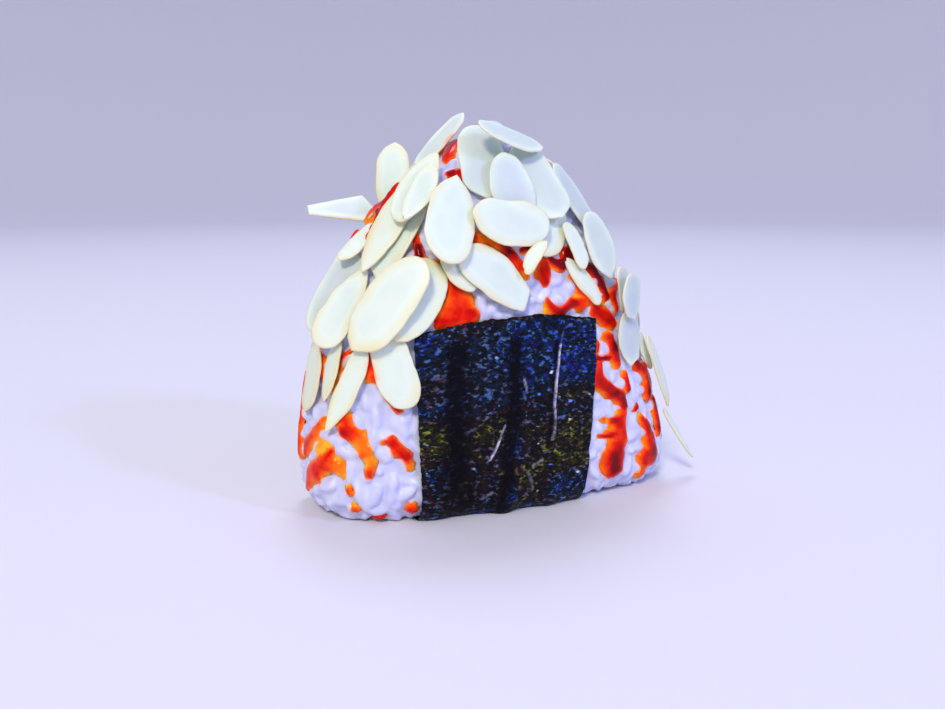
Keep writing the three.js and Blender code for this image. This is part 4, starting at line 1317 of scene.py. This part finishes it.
def make_stage():
    make_floor(FLOOR_COLOUR)
    for light in LIGHTS:
        add_soft_light(*light)
    world = bpy.data.worlds.new("soft_room")
    world.use_nodes = True
    background = world.node_tree.nodes["Background"]
    background.inputs["Color"].default_value = linear(ROOM_COLOUR)
    background.inputs["Strength"].default_value = ROOM_STRENGTH
    scene = bpy.context.scene
    scene.world = world
    forward = view_direction(CAMERA_AZIMUTH, CAMERA_ELEVATION)
    bpy.ops.object.camera_add(
        location=CAMERA_TARGET - forward * CAMERA_DISTANCE,
        rotation=forward.to_track_quat("-Z", "Y").to_euler()
    )
    camera = bpy.context.active_object
    camera.data.lens = CAMERA_LENS
    camera.data.sensor_width = CAMERA_SENSOR
    camera.data.clip_start = 0.01
    scene.camera = camera
    scene.view_settings.view_transform = "Standard"


# ---- Settings, operators and panel --------------------------------------------------------------


class RiceBallSettings(bpy.types.PropertyGroup):
    grain_length: bpy.props.FloatProperty(
        name="Grain length", description="Length of a cooked grain", default=5.6 * MM, unit="LENGTH"
    )
    grain_width: bpy.props.FloatProperty(
        name="Grain width", description="Width of a cooked grain", default=2.6 * MM, unit="LENGTH"
    )
    nori_thickness: bpy.props.FloatProperty(
        name="Nori thickness", description="Thickness of the softened sheet", default=0.3 * MM,
        unit="LENGTH"
    )
    sauce_depth: bpy.props.FloatProperty(
        name="Sauce depth", description="How high a full run of sauce stands over the rice",
        default=0.65 * MM, unit="LENGTH"
    )
    rice_colour: bpy.props.FloatVectorProperty(
        name="Rice", description="Colour of the grains", default=linear("#d0d4f0"), size=4,
        subtype="COLOR"
    )
    rice_shade: bpy.props.FloatVectorProperty(
        name="Rice, clearer", description="Colour where the grains are more see-through",
        default=linear("#c0c4e8"), size=4, subtype="COLOR"
    )
    sauce_colour: bpy.props.FloatVectorProperty(
        name="Sauce", description="Colour of a full run of sauce", default=linear("#d60e02"),
        size=4, subtype="COLOR"
    )
    sauce_deep: bpy.props.FloatVectorProperty(
        name="Sauce, deep", description="Colour where the sauce is thickest",
        default=linear("#70030c"), size=4, subtype="COLOR"
    )
    nori_colour: bpy.props.FloatVectorProperty(
        name="Nori", description="Main colour of the sheet", default=linear("#0a0d12"), size=4,
        subtype="COLOR"
    )
    almond_colour: bpy.props.FloatVectorProperty(
        name="Almond", description="Main colour of the slices", default=linear("#dceadb"), size=4,
        subtype="COLOR"
    )
    rim_colour: bpy.props.FloatVectorProperty(
        name="Almond rim", description="Colour at the edge of a slice", default=linear("#e3d2a0"),
        size=4, subtype="COLOR"
    )


class RICEBALL_OT_rice(bpy.types.Operator):
    """Adds the pressed rice: grains over a core, joined to one moist surface"""

    bl_idname = "rice_ball.rice"
    bl_label = "Add Pressed Rice"

    def execute(self, context):
        make_rice(context.scene.rice_ball)
        return {"FINISHED"}


class RICEBALL_OT_sauce(bpy.types.Operator):
    """Adds the runs, pools and drops of chilli sauce"""

    bl_idname = "rice_ball.sauce"
    bl_label = "Add Chilli Sauce"

    def execute(self, context):
        make_sauce(context.scene.rice_ball)
        return {"FINISHED"}


class RICEBALL_OT_nori(bpy.types.Operator):
    """Adds the creased strip of nori"""

    bl_idname = "rice_ball.nori"
    bl_label = "Add Nori"

    def execute(self, context):
        make_nori(context.scene.rice_ball)
        return {"FINISHED"}


class RICEBALL_OT_almonds(bpy.types.Operator):
    """Adds a slice of almond for each slice of the solid model"""

    bl_idname = "rice_ball.almonds"
    bl_label = "Add Almond Slices"

    def execute(self, context):
        make_almonds(context.scene.rice_ball)
        return {"FINISHED"}


class RICEBALL_OT_stage(bpy.types.Operator):
    """Adds the floor, the lights and the camera"""

    bl_idname = "rice_ball.stage"
    bl_label = "Add Stage"

    def execute(self, context):
        make_stage()
        return {"FINISHED"}


class RICEBALL_PT_panel(bpy.types.Panel):
    bl_label = "Rice Ball"
    bl_space_type = "VIEW_3D"
    bl_region_type = "UI"
    bl_category = "Rice Ball"

    def draw(self, context):
        settings = context.scene.rice_ball
        for name in RiceBallSettings.__annotations__:
            self.layout.prop(settings, name)
        for operator in OPERATORS:
            self.layout.operator(operator.bl_idname)


OPERATORS = [
    RICEBALL_OT_rice,
    RICEBALL_OT_sauce,
    RICEBALL_OT_nori,
    RICEBALL_OT_almonds,
    RICEBALL_OT_stage,
]


def register():
    for cls in (RiceBallSettings, *OPERATORS, RICEBALL_PT_panel):
        bpy.utils.register_class(cls)
    bpy.types.Scene.rice_ball = bpy.props.PointerProperty(type=RiceBallSettings)


def unregister():
    del bpy.types.Scene.rice_ball
    for cls in (RICEBALL_PT_panel, *reversed(OPERATORS), RiceBallSettings):
        bpy.utils.unregister_class(cls)


def main():
    register()
    bpy.ops.rice_ball.rice()
    bpy.ops.rice_ball.sauce()
    bpy.ops.rice_ball.nori()
    bpy.ops.rice_ball.almonds()
    bpy.ops.rice_ball.stage()


if __name__ == "__main__":
    main()
